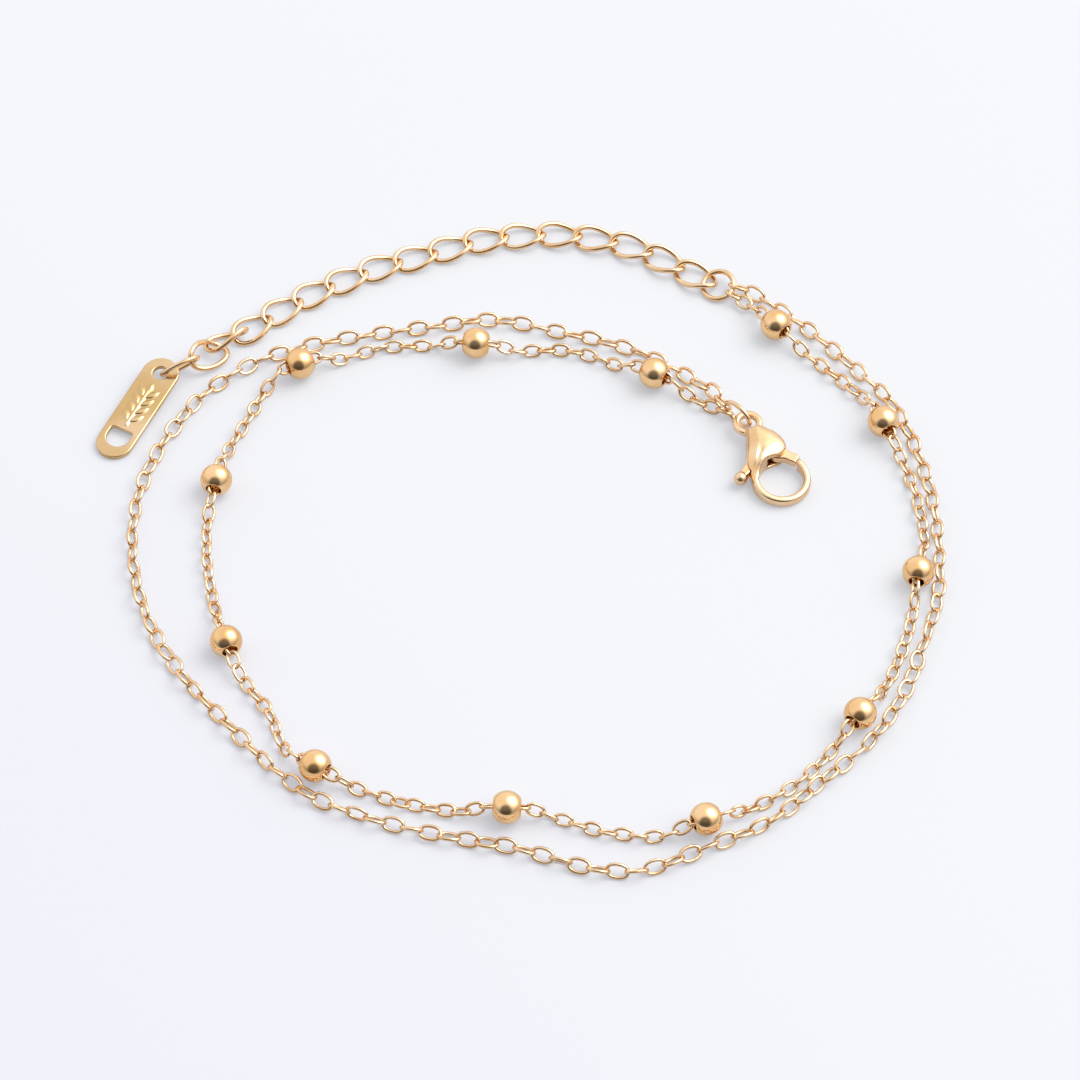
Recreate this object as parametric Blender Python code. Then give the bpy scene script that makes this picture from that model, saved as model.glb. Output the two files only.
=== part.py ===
"""Double-strand ball anklet, lying unfastened on a flat surface.

Two fine cable-chain strands run side by side from a clasp round to a
connector ring. The inner strand carries twelve ball beads. An extender of
curb links goes on from the connector ring to a stamped end tag, and a lobster
clasp with a sprung lever closes the loop on any extender link.

Metres, +Z up. The origin is the centre of the outline at the surface.
"""

import math

import bpy
import bmesh
import numpy as np
from mathutils import Euler, Vector

MM = 0.001

# Clearances between neighbouring pieces
TOUCH_GAP = 0.3 * MM
LINK_GAP = 0.25 * MM

# Width of the loop that the outer strand makes, as it lies
LOOP_WIDTH = 74.5 * MM

# Strands: cable chain, as a tube of about the chain's own thickness
OUTER_STRAND_DIAMETER = 1.1 * MM
INNER_STRAND_DIAMETER = 0.9 * MM
STRAND_POINT_SPACING = 2.9 * MM

# Ball beads, drilled for the inner strand
BEAD_DIAMETER = 3.0 * MM
BEAD_HOLE = INNER_STRAND_DIAMETER + 2 * TOUCH_GAP
BEAD_SIDES = 12
BEAD_ARC_STEPS = 7

# Extender of curb links
EXTENDER_WIRE = 0.4 * MM
EXTENDER_LINK_LENGTH = 4.65 * MM
EXTENDER_LINK_WIDTH = 3.1 * MM
EXTENDER_TWIST = math.radians(60)
EXTENDER_LINKS = 14
CONNECTOR_RING_DIAMETER = 3.5 * MM
CONNECTOR_RING_ROLL = math.radians(16)
CONNECTOR_RING_PITCH = math.radians(4.7)
CONNECTOR_RING_BEARING = math.radians(158)
CONNECTOR_RING_FROM_STRANDS = 0.5 * MM
LOOP_POINTS = 20

# End tag
TAG_LENGTH = 12.2 * MM
TAG_WIDTH = 3.6 * MM
TAG_THICKNESS = 0.5 * MM
TAG_HOLE = 1.5 * MM
TAG_HOLE_FROM_END = 1.75 * MM
TAG_SLOT_WIDTH = 2.3 * MM
TAG_SLOT_HEIGHT = 2.05 * MM
TAG_SLOT_RIM = 1.25 * MM

# Jump rings of the tag and the clasp, both slightly oval
RING_WIRE = 0.45 * MM
TAG_RING_LENGTH = 4.25 * MM
TAG_RING_WIDTH = 2.65 * MM
CLASP_RING_LENGTH = 3.55 * MM
CLASP_RING_WIDTH = 2.75 * MM

# Lobster clasp, in its own axes: x from the eye to the hook, y to the gate
CLASP_REACH = 7.0 * MM
CLASP_THICKNESS = 2.2 * MM
CLASP_BODY_WIDTH = 4.6 * MM
EYE_DIAMETER = 2.9 * MM
EYE_HOLE = 1.5 * MM
EYE_THICKNESS = 0.7 * MM
HOOK_OPENING = 3.5 * MM
HOOK_BAND = 1.0 * MM
HOOK_HEIGHT = 1.6 * MM
LEVER_THICKNESS = 0.7 * MM
LEVER_BAR = 0.8 * MM
LEVER_BOSS = 1.8 * MM
LEVER_REACH = 3.1 * MM
LEVER_ARM = 4.35 * MM
KNOB_DIAMETER = 1.3 * MM
PIN_DIAMETER = 0.5 * MM
PIVOT_FROM_EYE = 3.4 * MM
PIVOT_ASIDE = 0.4 * MM
ROUND_SIDES = 24

GOLD = (0.81, 0.55, 0.29)
GOLD_ROUGHNESS = 0.18

# Routes seen from above, drawn for a loop 74.5 wide and scaled to LOOP_WIDTH.
# The outer strand's chosen points run from the connector ring, clockwise round
# the loop, to the clasp's ring.
OUTER_ROUTE = (
    (21.8, 29.6), (24.2, 27.6), (27.5, 24.7), (31.2, 20.6), (35.2, 15.6), (37.3, 10.4),
    (38.6, 4.4), (39.0, -1.5), (38.6, -7.5), (36.8, -13.4), (34.7, -18.8), (31.4, -23.8),
    (26.9, -28.0), (22.5, -32.0), (16.9, -34.7), (11.2, -37.1), (6.2, -36.8), (0.1, -34.8),
    (-5.8, -33.6), (-11.6, -32.1), (-17.2, -29.8), (-21.9, -26.0), (-25.6, -21.8), (-29.5, -17.1),
    (-32.7, -11.9), (-34.7, -6.4), (-35.5, -0.3), (-34.9, 5.6), (-32.8, 11.3), (-29.6, 16.3),
    (-25.1, 20.1), (-19.6, 22.4), (-13.6, 23.7), (-7.8, 24.7), (-2.1, 25.5), (4.0, 24.0),
    (9.6, 22.3), (14.9, 19.5), (19.9, 15.2),
)

# The inner strand's lead from the connector ring to the first bead, then each
# bead's centre followed by the points its chain passes on the way to the next.
INNER_LEAD = ((21.2, 28.3), (22.3, 27.2))
INNER_ROUTE = (
    ((24.7, 24.1), (26.9, 21.9), (30.1, 18.8), (33.1, 15.5)),
    ((34.4, 12.3), (36.0, 8.7), (37.3, 3.7), (37.7, -1.4)),
    ((36.7, -5.2), (36.3, -8.9), (35.0, -13.6), (33.1, -18.0)),
    ((30.8, -21.0), (28.4, -24.3), (24.9, -28.0), (20.6, -30.8)),
    ((16.8, -32.3), (13.0, -33.6), (8.0, -33.1), (3.3, -31.6)),
    ((-0.7, -31.0), (-4.6, -31.0), (-9.7, -30.1), (-14.4, -28.4)),
    ((-17.8, -26.8), (-20.5, -24.5), (-22.1, -20.4), (-24.8, -16.4)),
    ((-26.3, -13.1), (-27.4, -9.2), (-28.4, -3.8), (-28.6, 1.2)),
    ((-27.9, 5.4), (-27.2, 9.1), (-25.5, 13.0), (-23.5, 17.3)),
    ((-20.7, 19.6), (-17.2, 20.5), (-12.5, 22.1), (-7.7, 22.2)),
    ((-3.9, 21.9), (0.0, 21.6), (5.0, 21.7), (9.5, 19.9)),
    ((13.1, 18.3), (15.6, 16.6), (19.2, 14.1)),
)

# The extender's chosen points, in link pitches from the connector ring's centre.
EXTENDER_ROUTE = (
    (0.00, 0.00), (-0.86, 0.50), (-1.67, 1.03), (-2.50, 1.44), (-3.47, 1.69), (-4.44, 1.81),
    (-5.39, 1.75), (-6.33, 1.61), (-7.25, 1.31), (-8.19, 0.97), (-9.11, 0.64), (-9.97, 0.22),
    (-10.81, -0.25), (-11.61, -0.81), (-12.44, -1.47), (-13.25, -2.14),
)

# The last two links and the tag's ring, stacked loosely on each other. Each
# place is measured from the last link that lies along the route, as shares of
# the link's length; the turns are in degrees.
STACKED = {
    # name: (x, y, z, yaw, pitch, roll)
    "upper_link": (-0.512, -0.361, 0.103, 23.3, 10.6, -37.7),
    "lower_link": (-0.868, -0.787, 0.119, 37.9, -19.8, 26.9),
    "tag_ring": (-1.422, -1.157, 0.190, 23.0, 13.2, 117.0),
}
# The middle of the tag's hole, from the middle of its ring, at the tag's underside
TAG_HOLE_FROM_RING = (-1.806 * MM, -0.705 * MM)
TAG_HOLE_HEIGHT = 0.84 * MM
TAG_YAW = math.radians(63)
TAG_CLEAR_OF_STRAND = 0.8 * MM

CLASP_YAW = math.radians(-65)
CLASP_RING_YAW = math.radians(133.7)
CLASP_RING_FROM_STRANDS = 0.08 * MM

# The clasp body's outline: shares of CLASP_REACH along, of CLASP_BODY_WIDTH across.
BODY_OUTLINE = (
    (0.129, 0.152), (0.214, 0.250), (0.321, 0.380), (0.443, 0.446), (0.564, 0.446), (0.657, 0.370),
    (0.714, 0.217), (0.750, 0.000), (0.786, -0.196), (0.871, -0.370), (0.900, -0.500), (0.829, -0.554),
    (0.686, -0.522), (0.529, -0.446), (0.371, -0.315), (0.243, -0.217), (0.129, -0.152),
)
# Its levels: shares of CLASP_THICKNESS for the height and for the outline's inset.
BODY_LEVELS = ((0.0, 0.11), (0.12, 0.0), (0.62, 0.0), (0.86, 0.10), (1.0, 0.34))


def smooth_curve(points, steps=12):
    """Catmull-Rom curve through the points, whose ends are carried straight on."""
    chosen = np.asarray(points, dtype=float)
    before = 2 * chosen[0] - chosen[1]
    after = 2 * chosen[-1] - chosen[-2]
    padded = np.vstack([before, chosen, after])
    spans = len(chosen) - 1
    a, b, c, d = (padded[k:k + spans, None] for k in range(4))
    t = np.linspace(0, 1, steps, endpoint=False)[None, :, None]
    curve = 0.5 * (2 * b + (c - a) * t + (2 * a - 5 * b + 4 * c - d) * t**2 + (3 * b - a - 3 * c + d) * t**3)
    return np.vstack([curve.reshape(-1, chosen.shape[1]), chosen[-1:]])


def lengths_along(curve):
    """Distance from the start to each point of a curve."""
    steps = np.linalg.norm(np.diff(curve, axis=0), axis=1)
    return np.concatenate([[0.0], np.cumsum(steps)])


def point_at(curve, distance):
    """The point that far along a curve."""
    along = lengths_along(curve)
    return np.array([np.interp(distance, along, curve[:, k]) for k in range(curve.shape[1])])


def gold_material(name):
    """Polished gold-coloured steel."""
    material = bpy.data.materials.new(name)
    material.use_nodes = True
    shader = material.node_tree.nodes["Principled BSDF"]
    shader.inputs["Base Color"].default_value = (*GOLD, 1.0)
    shader.inputs["Metallic"].default_value = 1.0
    shader.inputs["Roughness"].default_value = GOLD_ROUGHNESS
    return material


def add_object(name, data, parent=None):
    """Link a mesh or curve to the scene as a piece with a material of its own."""
    piece = bpy.data.objects.new(name, data)
    bpy.context.scene.collection.objects.link(piece)
    piece.parent = parent
    data.materials.append(gold_material(name + "_gold"))
    return piece


def add_tool(name, data, parent):
    """Link a hidden solid that a Boolean modifier uses."""
    tool = add_object(name, data, parent)
    tool.hide_render = True
    tool.display_type = 'WIRE'
    return tool


def combine(piece, tool, operation):
    """Join a hidden solid to a piece, or cut it away."""
    modifier = piece.modifiers.new(tool.name, 'BOOLEAN')
    modifier.object = tool
    modifier.operation = operation
    modifier.solver = 'EXACT'


def turned(yaw, pitch, roll):
    """Roll about x, then lift the nose by pitch, then turn by yaw."""
    return Euler((roll, -pitch, yaw), 'XYZ')


def tube(name, points, diameter, closed, resolution):
    """A round wire along a polyline, with 4 + 2 * resolution sides."""
    curve = bpy.data.curves.new(name, 'CURVE')
    curve.dimensions = '3D'
    curve.resolution_u = 1
    curve.bevel_depth = diameter / 2
    curve.bevel_resolution = resolution
    curve.use_fill_caps = not closed
    spline = curve.splines.new('POLY')
    spline.points.add(len(points) - 1)
    for spline_point, point in zip(spline.points, points):
        spline_point.co = (*point, 1.0)
    spline.use_cyclic_u = closed
    return add_object(name, curve)


def oval_loop(length, width, wire, twist=0.0):
    """Centreline of an oval wire loop along x, its ends turned apart by twist."""
    angle = np.linspace(0, 2 * math.pi, LOOP_POINTS, endpoint=False)
    along = (length - wire) / 2 * np.cos(angle)
    fullness = 0.9 if twist else 1.0
    across = (width - wire) / 2 * np.sign(np.sin(angle)) * np.abs(np.sin(angle)) ** fullness
    turn = -0.5 * twist * along / ((length - wire) / 2)
    return np.stack([along, across * np.cos(turn), across * np.sin(turn)], axis=1)


def wire_loop(name, length, width, wire, twist=0.0):
    """A link or ring of round wire, lying along x round the origin."""
    return tube(name, oval_loop(length, width, wire, twist), wire, closed=True, resolution=1)


def prism(name, outline, low, high, parent, hidden=True):
    """A closed outline in the xy plane, extruded from low to high."""
    return loft(name, [(low, outline), (high, outline)], parent, hidden)


def loft(name, levels, parent, hidden=False):
    """Outlines of equal length at rising heights, joined and capped."""
    mesh = bpy.data.meshes.new(name)
    shape = bmesh.new()
    rings = [[shape.verts.new((x, y, height)) for x, y in outline] for height, outline in levels]
    count = len(rings[0])
    for lower, upper in zip(rings, rings[1:]):
        for k in range(count):
            following = (k + 1) % count
            shape.faces.new((lower[k], lower[following], upper[following], upper[k]))
    shape.faces.new(rings[0][::-1])
    shape.faces.new(rings[-1])
    bmesh.ops.recalc_face_normals(shape, faces=shape.faces)
    shape.to_mesh(mesh)
    shape.free()
    return add_tool(name, mesh, parent) if hidden else add_object(name, mesh, parent)


def circle(radius, centre=(0.0, 0.0), sides=ROUND_SIDES):
    """Points of a circle, counterclockwise."""
    angles = np.arange(sides) * 2 * math.pi / sides
    return [(centre[0] + radius * math.cos(a), centre[1] + radius * math.sin(a)) for a in angles]


def sweep_ring(name, section, start, end, steps, parent, hidden=False):
    """A closed section in the xz plane, turned about z from start to end angle."""
    full = abs(end - start) > 2 * math.pi - 1e-6
    mesh = bpy.data.meshes.new(name)
    shape = bmesh.new()
    stations = np.linspace(start, end, steps, endpoint=not full)
    rings = []
    for angle in stations:
        cosine, sine = math.cos(angle), math.sin(angle)
        rings.append([shape.verts.new((r * cosine, r * sine, z)) for r, z in section])
    pairs = list(zip(rings, rings[1:])) + ([(rings[-1], rings[0])] if full else [])
    for one, other in pairs:
        for k in range(len(section)):
            following = (k + 1) % len(section)
            shape.faces.new((one[k], one[following], other[following], other[k]))
    if not full:
        shape.faces.new(rings[0][::-1])
        shape.faces.new(rings[-1])
    bmesh.ops.recalc_face_normals(shape, faces=shape.faces)
    shape.to_mesh(mesh)
    shape.free()
    return add_tool(name, mesh, parent) if hidden else add_object(name, mesh, parent)


def ball(name, diameter, parent):
    """A hidden ball round the origin."""
    mesh = bpy.data.meshes.new(name)
    shape = bmesh.new()
    bmesh.ops.create_uvsphere(shape, u_segments=12, v_segments=8, radius=diameter / 2)
    shape.to_mesh(mesh)
    shape.free()
    return add_tool(name, mesh, parent)


def route_unit():
    """Length of one unit of the strands' routes."""
    across = [x for x, _ in OUTER_ROUTE]
    return LOOP_WIDTH / (max(across) - min(across))


def make_outer_strand():
    """The plain strand, lying on the surface."""
    curve = smooth_curve(OUTER_ROUTE) * route_unit()
    count = round(lengths_along(curve)[-1] / STRAND_POINT_SPACING)
    stops = np.linspace(0, lengths_along(curve)[-1], count + 1)
    height = OUTER_STRAND_DIAMETER / 2
    points = [(*point_at(curve, stop), height) for stop in stops]
    tube("outer_strand", points, OUTER_STRAND_DIAMETER, closed=False, resolution=2)


def inner_curve():
    """The inner strand's plan, and how far along it each bead sits."""
    chosen = list(INNER_LEAD)
    bead_rows = []
    for row in INNER_ROUTE:
        bead_rows.append(len(chosen))
        chosen.extend(row)
    steps = 12
    curve = smooth_curve(chosen, steps) * route_unit()
    along = lengths_along(curve)
    return curve, [along[row * steps] for row in bead_rows]


def make_inner_strand():
    """The beaded strand: it lifts off the surface to pass through each bead."""
    curve, bead_stops = inner_curve()
    whole = lengths_along(curve)[-1]
    low = INNER_STRAND_DIAMETER / 2
    high = BEAD_DIAMETER / 2
    half = BEAD_DIAMETER / 2 + TOUCH_GAP
    points = [(*point_at(curve, 0.0), low)]
    reached = 0.0
    for stop in [*bead_stops, whole + half]:
        span = stop - half - reached
        count = max(1, round(span / STRAND_POINT_SPACING))
        for k in range(1, count):
            points.append((*point_at(curve, reached + span * k / count), low))
        if stop < whole:
            points.append((*point_at(curve, stop - half), high))
            points.append((*point_at(curve, stop + half), high))
            reached = stop + half
    points.append((*point_at(curve, whole), low))
    tube("inner_strand", points, INNER_STRAND_DIAMETER, closed=False, resolution=2)


def bead_section():
    """Half-section of a drilled ball, as (radius, height) round its bore axis."""
    radius = BEAD_DIAMETER / 2
    bore = BEAD_HOLE / 2
    mouth = math.asin(bore / radius)
    angles = np.linspace(mouth, math.pi - mouth, BEAD_ARC_STEPS + 1)
    return [(radius * math.sin(a), radius * math.cos(a)) for a in angles]


def make_beads():
    """Twelve drilled balls, each turned along the strand that runs through it."""
    curve, bead_stops = inner_curve()
    half = BEAD_DIAMETER / 2 + TOUCH_GAP
    for number, stop in enumerate(bead_stops, 1):
        entry = point_at(curve, stop - half)
        leaving = point_at(curve, stop + half)
        middle = (entry + leaving) / 2
        heading = math.atan2(*(leaving - entry)[::-1])
        bead = sweep_ring(f"bead_{number:02d}", bead_section(), 0, 2 * math.pi, BEAD_SIDES, None)
        bead.rotation_euler = (0, math.pi / 2, heading)
        bead.location = (*middle, BEAD_DIAMETER / 2)


def rotate(points, angle):
    """Points of a plan turned about its origin."""
    cosine, sine = math.cos(angle), math.sin(angle)
    return np.asarray(points) @ np.array([[cosine, sine], [-sine, cosine]])


def connector_centre():
    """Plan position of the connector ring, just off the starts of both strands."""
    starts = (np.array(OUTER_ROUTE[0]) + np.array(INNER_LEAD[0])) / 2 * route_unit()
    away = CONNECTOR_RING_DIAMETER / 2 + CONNECTOR_RING_FROM_STRANDS
    return starts + away * np.array([math.cos(CONNECTOR_RING_BEARING), math.sin(CONNECTOR_RING_BEARING)])


def extender_links(swing=0.0):
    """Centre and heading of each link that lies along the extender's route."""
    pitch = EXTENDER_LINK_LENGTH - 2 * EXTENDER_WIRE - LINK_GAP
    route = rotate(smooth_curve(EXTENDER_ROUTE) * pitch, swing)
    curve = route + connector_centre()
    first = (CONNECTOR_RING_DIAMETER + EXTENDER_LINK_LENGTH) / 2 - 4 * EXTENDER_WIRE
    places = []
    for k in range(EXTENDER_LINKS):
        stop = first + k * pitch
        ahead = point_at(curve, stop + pitch / 2) - point_at(curve, stop - pitch / 2)
        places.append((point_at(curve, stop), math.atan2(ahead[1], ahead[0]) + math.pi))
    return places


def link_height():
    """Height of a lying curb link's centre: its twisted wire just meets the surface."""
    loop = oval_loop(EXTENDER_LINK_LENGTH, EXTENDER_LINK_WIDTH, EXTENDER_WIRE, EXTENDER_TWIST)
    return EXTENDER_WIRE / 2 - loop[:, 2].min()


def tag_hole(swing):
    """Plan position of the middle of the tag's hole."""
    ring = stacked_place("tag_ring", swing)
    return np.array([ring.x, ring.y]) + rotate(TAG_HOLE_FROM_RING, swing)


def extender_swing():
    """How far the extender swings about the connector ring to keep its tag clear of the strand."""
    strand = smooth_curve(OUTER_ROUTE) * route_unit()
    keep = (TAG_WIDTH + OUTER_STRAND_DIAMETER) / 2 + TAG_CLEAR_OF_STRAND
    length = TAG_LENGTH - TAG_HOLE_FROM_END - TAG_WIDTH / 2
    swing = 0.0
    for _ in range(30):
        away = np.array([math.cos(TAG_YAW + swing), math.sin(TAG_YAW + swing)])
        middle = tag_hole(swing) - np.linspace(0, length, 9)[:, None] * away
        if np.linalg.norm(strand[:, None] - middle[None], axis=2).min() > keep:
            break
        swing -= math.radians(1)
    return swing


def make_extender(swing):
    """The connector ring and the curb links that lie along the route."""
    ring = wire_loop("connector_ring", CONNECTOR_RING_DIAMETER, CONNECTOR_RING_DIAMETER, EXTENDER_WIRE)
    _, heading = extender_links(swing)[0]
    ring.rotation_euler = turned(heading, CONNECTOR_RING_PITCH, CONNECTOR_RING_ROLL)
    tilt = math.hypot(math.sin(CONNECTOR_RING_ROLL), math.sin(CONNECTOR_RING_PITCH))
    rise = tilt * (CONNECTOR_RING_DIAMETER - EXTENDER_WIRE) / 2
    ring.location = (*connector_centre(), EXTENDER_WIRE / 2 + rise)
    for number, (centre, heading) in enumerate(extender_links(swing), 1):
        link = curb_link(f"extender_link_{number:02d}")
        link.location = (*centre, link_height())
        link.rotation_euler = (0, 0, heading)


def curb_link(name):
    """One twisted link of the extender."""
    return wire_loop(name, EXTENDER_LINK_LENGTH, EXTENDER_LINK_WIDTH, EXTENDER_WIRE, EXTENDER_TWIST)


def stacked_place(row, swing):
    """Location of a stacked piece, from the extender's last lying link."""
    centre, _ = extender_links(swing)[-1]
    across = centre + rotate(STACKED[row][:2], swing) * EXTENDER_LINK_LENGTH
    return Vector((*across, link_height() + STACKED[row][2] * EXTENDER_LINK_LENGTH))


def place_stacked(piece, row, swing):
    """Give a stacked piece its place and its turn."""
    yaw, pitch, roll = (math.radians(angle) for angle in STACKED[row][3:])
    piece.location = stacked_place(row, swing)
    piece.rotation_euler = turned(yaw + swing, pitch, roll)


def make_stacked_end(swing):
    """The two last links and the tag's jump ring."""
    place_stacked(curb_link(f"extender_link_{EXTENDER_LINKS + 1:02d}"), "upper_link", swing)
    place_stacked(curb_link(f"extender_link_{EXTENDER_LINKS + 2:02d}"), "lower_link", swing)
    ring = wire_loop("tag_ring", TAG_RING_LENGTH, TAG_RING_WIDTH, RING_WIRE)
    place_stacked(ring, "tag_ring", swing)


def tag_outline():
    """Oblong with round ends, in axes whose origin is the middle of its hole."""
    radius = TAG_WIDTH / 2
    upper = TAG_HOLE_FROM_END - radius
    lower = TAG_HOLE_FROM_END - TAG_LENGTH + radius
    half_turn = np.linspace(-math.pi / 2, math.pi / 2, 13)
    top = [(upper + radius * math.cos(a), radius * math.sin(a)) for a in half_turn]
    return top + [(lower - radius * math.cos(a), -radius * math.sin(a)) for a in half_turn]


def slot_outline():
    """D-shaped slot: a half-round end and a straight edge across the tag."""
    radius = TAG_SLOT_WIDTH / 2
    end = TAG_HOLE_FROM_END - TAG_LENGTH + TAG_SLOT_RIM
    half_turn = np.linspace(math.pi / 2, 3 * math.pi / 2, 11)
    arc = [(end + radius * (1 + math.cos(a)), radius * math.sin(a)) for a in half_turn]
    straight = end + TAG_SLOT_HEIGHT
    return [(straight, -radius), (straight, radius), *arc]


def make_end_tag(swing):
    """The end tag, its upper end lifted by the ring that passes under it."""
    tag = prism("end_tag", tag_outline(), 0, TAG_THICKNESS, None, hidden=False)
    below, above = -MM, TAG_THICKNESS + MM
    hole = prism("tag_hole_cutter", circle(TAG_HOLE / 2, sides=20), below, above, tag)
    slot = prism("tag_slot_cutter", slot_outline(), below, above, tag)
    combine(tag, hole, 'DIFFERENCE')
    combine(tag, slot, 'DIFFERENCE')
    tag.location = (*tag_hole(swing), TAG_HOLE_HEIGHT)
    pitch = math.asin(TAG_HOLE_HEIGHT / (TAG_LENGTH - TAG_HOLE_FROM_END))
    tag.rotation_euler = turned(TAG_YAW + swing, pitch, 0.0)


def clasp_eye():
    """Plan position of the clasp's eye, a ring's length off the ends of both strands."""
    ends = (np.array(OUTER_ROUTE[-1]) + np.array(INNER_ROUTE[-1][-1])) / 2 * route_unit()
    away = CLASP_RING_LENGTH - RING_WIRE + CLASP_RING_FROM_STRANDS
    return ends - away * np.array([math.cos(CLASP_RING_YAW), math.sin(CLASP_RING_YAW)])


def make_clasp_ring():
    """The jump ring that stands on edge through the clasp's eye."""
    ring = wire_loop("clasp_ring", CLASP_RING_LENGTH, CLASP_RING_WIDTH, RING_WIRE)
    reach = CLASP_RING_LENGTH / 2 - RING_WIRE
    offset = reach * np.array([math.cos(CLASP_RING_YAW), math.sin(CLASP_RING_YAW)])
    ring.location = (*(clasp_eye() + offset), CLASP_RING_WIDTH / 2)
    ring.rotation_euler = (math.pi / 2, 0, CLASP_RING_YAW)


def inward_normals(points):
    """Unit normals of a closed outline, pointing into it."""
    tangent = np.roll(points, -1, axis=0) - np.roll(points, 1, axis=0)
    tangent /= np.linalg.norm(tangent, axis=1)[:, None]
    following = np.roll(points, -1, axis=0)
    area = np.sum(points[:, 0] * following[:, 1] - points[:, 1] * following[:, 0])
    return np.stack([-tangent[:, 1], tangent[:, 0]], axis=1) * np.sign(area)


def inset(outline, amount):
    """The outline moved inwards, by less where a circle inside it would be smaller."""
    points = np.array(outline)
    inward = inward_normals(points)
    apart = points[None] - points[:, None]
    ahead = np.einsum('ijk,ik->ij', apart, inward)
    spread = np.sum(apart**2, axis=2)
    circles = np.where(ahead > 1e-9, spread / (2 * np.maximum(ahead, 1e-9)), np.inf).min(axis=1)
    step = np.minimum(amount, 0.55 * circles)
    return [tuple(point) for point in points + inward * step[:, None]]


def body_outline():
    """The clasp body's plan: a teardrop that runs into the hook's left side."""
    chosen = np.array(BODY_OUTLINE) * (CLASP_REACH, CLASP_BODY_WIDTH)
    return smooth_curve(chosen, 2)


def hook_section():
    """Rounded band section of the hook, as (radius, height)."""
    inner = HOOK_OPENING / 2
    outer = inner + HOOK_BAND
    corner = HOOK_BAND * 0.28
    return [
        (inner + corner, 0),
        (outer - corner, 0),
        (outer, corner),
        (outer, HOOK_HEIGHT - corner),
        (outer - corner, HOOK_HEIGHT),
        (inner + corner, HOOK_HEIGHT),
        (inner, HOOK_HEIGHT - corner),
        (inner, corner),
    ]


def eye_section():
    """Flat washer section of the eye, as (radius, height)."""
    low = (CLASP_THICKNESS - EYE_THICKNESS) / 2
    high = low + EYE_THICKNESS
    return [(EYE_HOLE / 2, low), (EYE_DIAMETER / 2, low), (EYE_DIAMETER / 2, high), (EYE_HOLE / 2, high)]


def lever_outline():
    """The lever's plan round its pivot: gate bar, boss and knob arm."""
    gate = LEVER_REACH - LEVER_BAR / 2
    stations = (
        # x, y, width: from the knob, past the pivot and the elbow, to the gate's end
        (0.45 * LEVER_ARM, -0.86 * LEVER_ARM, LEVER_BAR * 0.8),
        (0.34 * LEVER_ARM, -0.66 * LEVER_ARM, LEVER_BAR),
        (0.16 * LEVER_ARM, -0.34 * LEVER_ARM, LEVER_BAR * 1.1),
        (0.00, 0.00, LEVER_BOSS),
        (0.30 * gate, 0.38 * gate, LEVER_BAR * 1.15),
        (0.78 * gate, 0.60 * gate, LEVER_BAR),
        (0.88 * gate, 0.66 * gate, LEVER_BAR * 0.75),
    )
    middle = smooth_curve(stations, 3)
    tangent = np.gradient(middle[:, :2], axis=0)
    tangent /= np.linalg.norm(tangent, axis=1)[:, None]
    aside = np.stack([-tangent[:, 1], tangent[:, 0]], axis=1) * middle[:, 2:] / 2
    one_side = middle[:, :2] - aside
    other_side = middle[:, :2] + aside
    return [tuple(point) for point in np.vstack([one_side, other_side[::-1]])]


def gate_sweep(pivot):
    """Plan of the space that the gate's end swings through, with clearance."""
    reach = max(math.hypot(x, y) for x, y in lever_outline() if y > 0) + TOUCH_GAP
    arc = np.radians(np.linspace(5, 75, 12))
    outer = [(pivot[0] + reach * math.cos(a), pivot[1] + reach * math.sin(a)) for a in arc]
    inner = [(pivot[0] + 0.6 * reach * math.cos(a), pivot[1] + 0.6 * reach * math.sin(a)) for a in arc[::-1]]
    return outer + inner


def make_clasp():
    """Eye, body and hook in one casting, and the sprung lever between its plates."""
    frame = bpy.data.objects.new("clasp_frame", None)
    bpy.context.scene.collection.objects.link(frame)
    frame.location = (*clasp_eye(), 0.0)
    frame.rotation_euler = (0, 0, CLASP_YAW)
    pivot = (PIVOT_FROM_EYE, PIVOT_ASIDE)
    make_clasp_body(frame, pivot)
    make_clasp_lever(frame, pivot)


def make_clasp_body(frame, pivot):
    """The casting, slotted for the lever, with the pivot pin across the slot."""
    outline = body_outline()
    levels = [(z * CLASP_THICKNESS, inset(outline, step * CLASP_THICKNESS)) for z, step in BODY_LEVELS]
    body = loft("clasp_body", levels, frame)
    hook_centre = (CLASP_REACH, 0.0)
    tip_angle = math.radians(132)
    hook = sweep_ring("hook_band", hook_section(), tip_angle, math.radians(-155), 25, frame, hidden=True)
    hook.location = (*hook_centre, 0.0)
    eye = sweep_ring("eye_washer", eye_section(), 0, 2 * math.pi, 20, frame, hidden=True)
    below, above = -MM, CLASP_THICKNESS + MM
    opening = prism("hook_opening", circle(HOOK_OPENING / 2, hook_centre, 25), below, above, frame)
    slot_low = (CLASP_THICKNESS - LEVER_THICKNESS) / 2 - TOUCH_GAP
    slot_high = CLASP_THICKNESS - slot_low
    slot_back = PIVOT_FROM_EYE - LEVER_BOSS / 2 - TOUCH_GAP
    slot_front = PIVOT_FROM_EYE + 0.54 * LEVER_ARM
    side = CLASP_BODY_WIDTH
    slot_plan = [(slot_back, -side), (slot_front, -side), (slot_front, side), (slot_back, side)]
    slot = prism("lever_slot", slot_plan, slot_low, slot_high, frame)
    sweep = prism("gate_sweep", gate_sweep(pivot), below, above, frame)
    pin_end = slot_low / 2
    pin = prism("lever_pin", circle(PIN_DIAMETER / 2, pivot, 10), pin_end, CLASP_THICKNESS - pin_end, frame)
    combine(body, hook, 'UNION')
    combine(body, eye, 'UNION')
    combine(body, opening, 'DIFFERENCE')
    combine(body, slot, 'DIFFERENCE')
    combine(body, sweep, 'DIFFERENCE')
    combine(body, pin, 'UNION')


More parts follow.
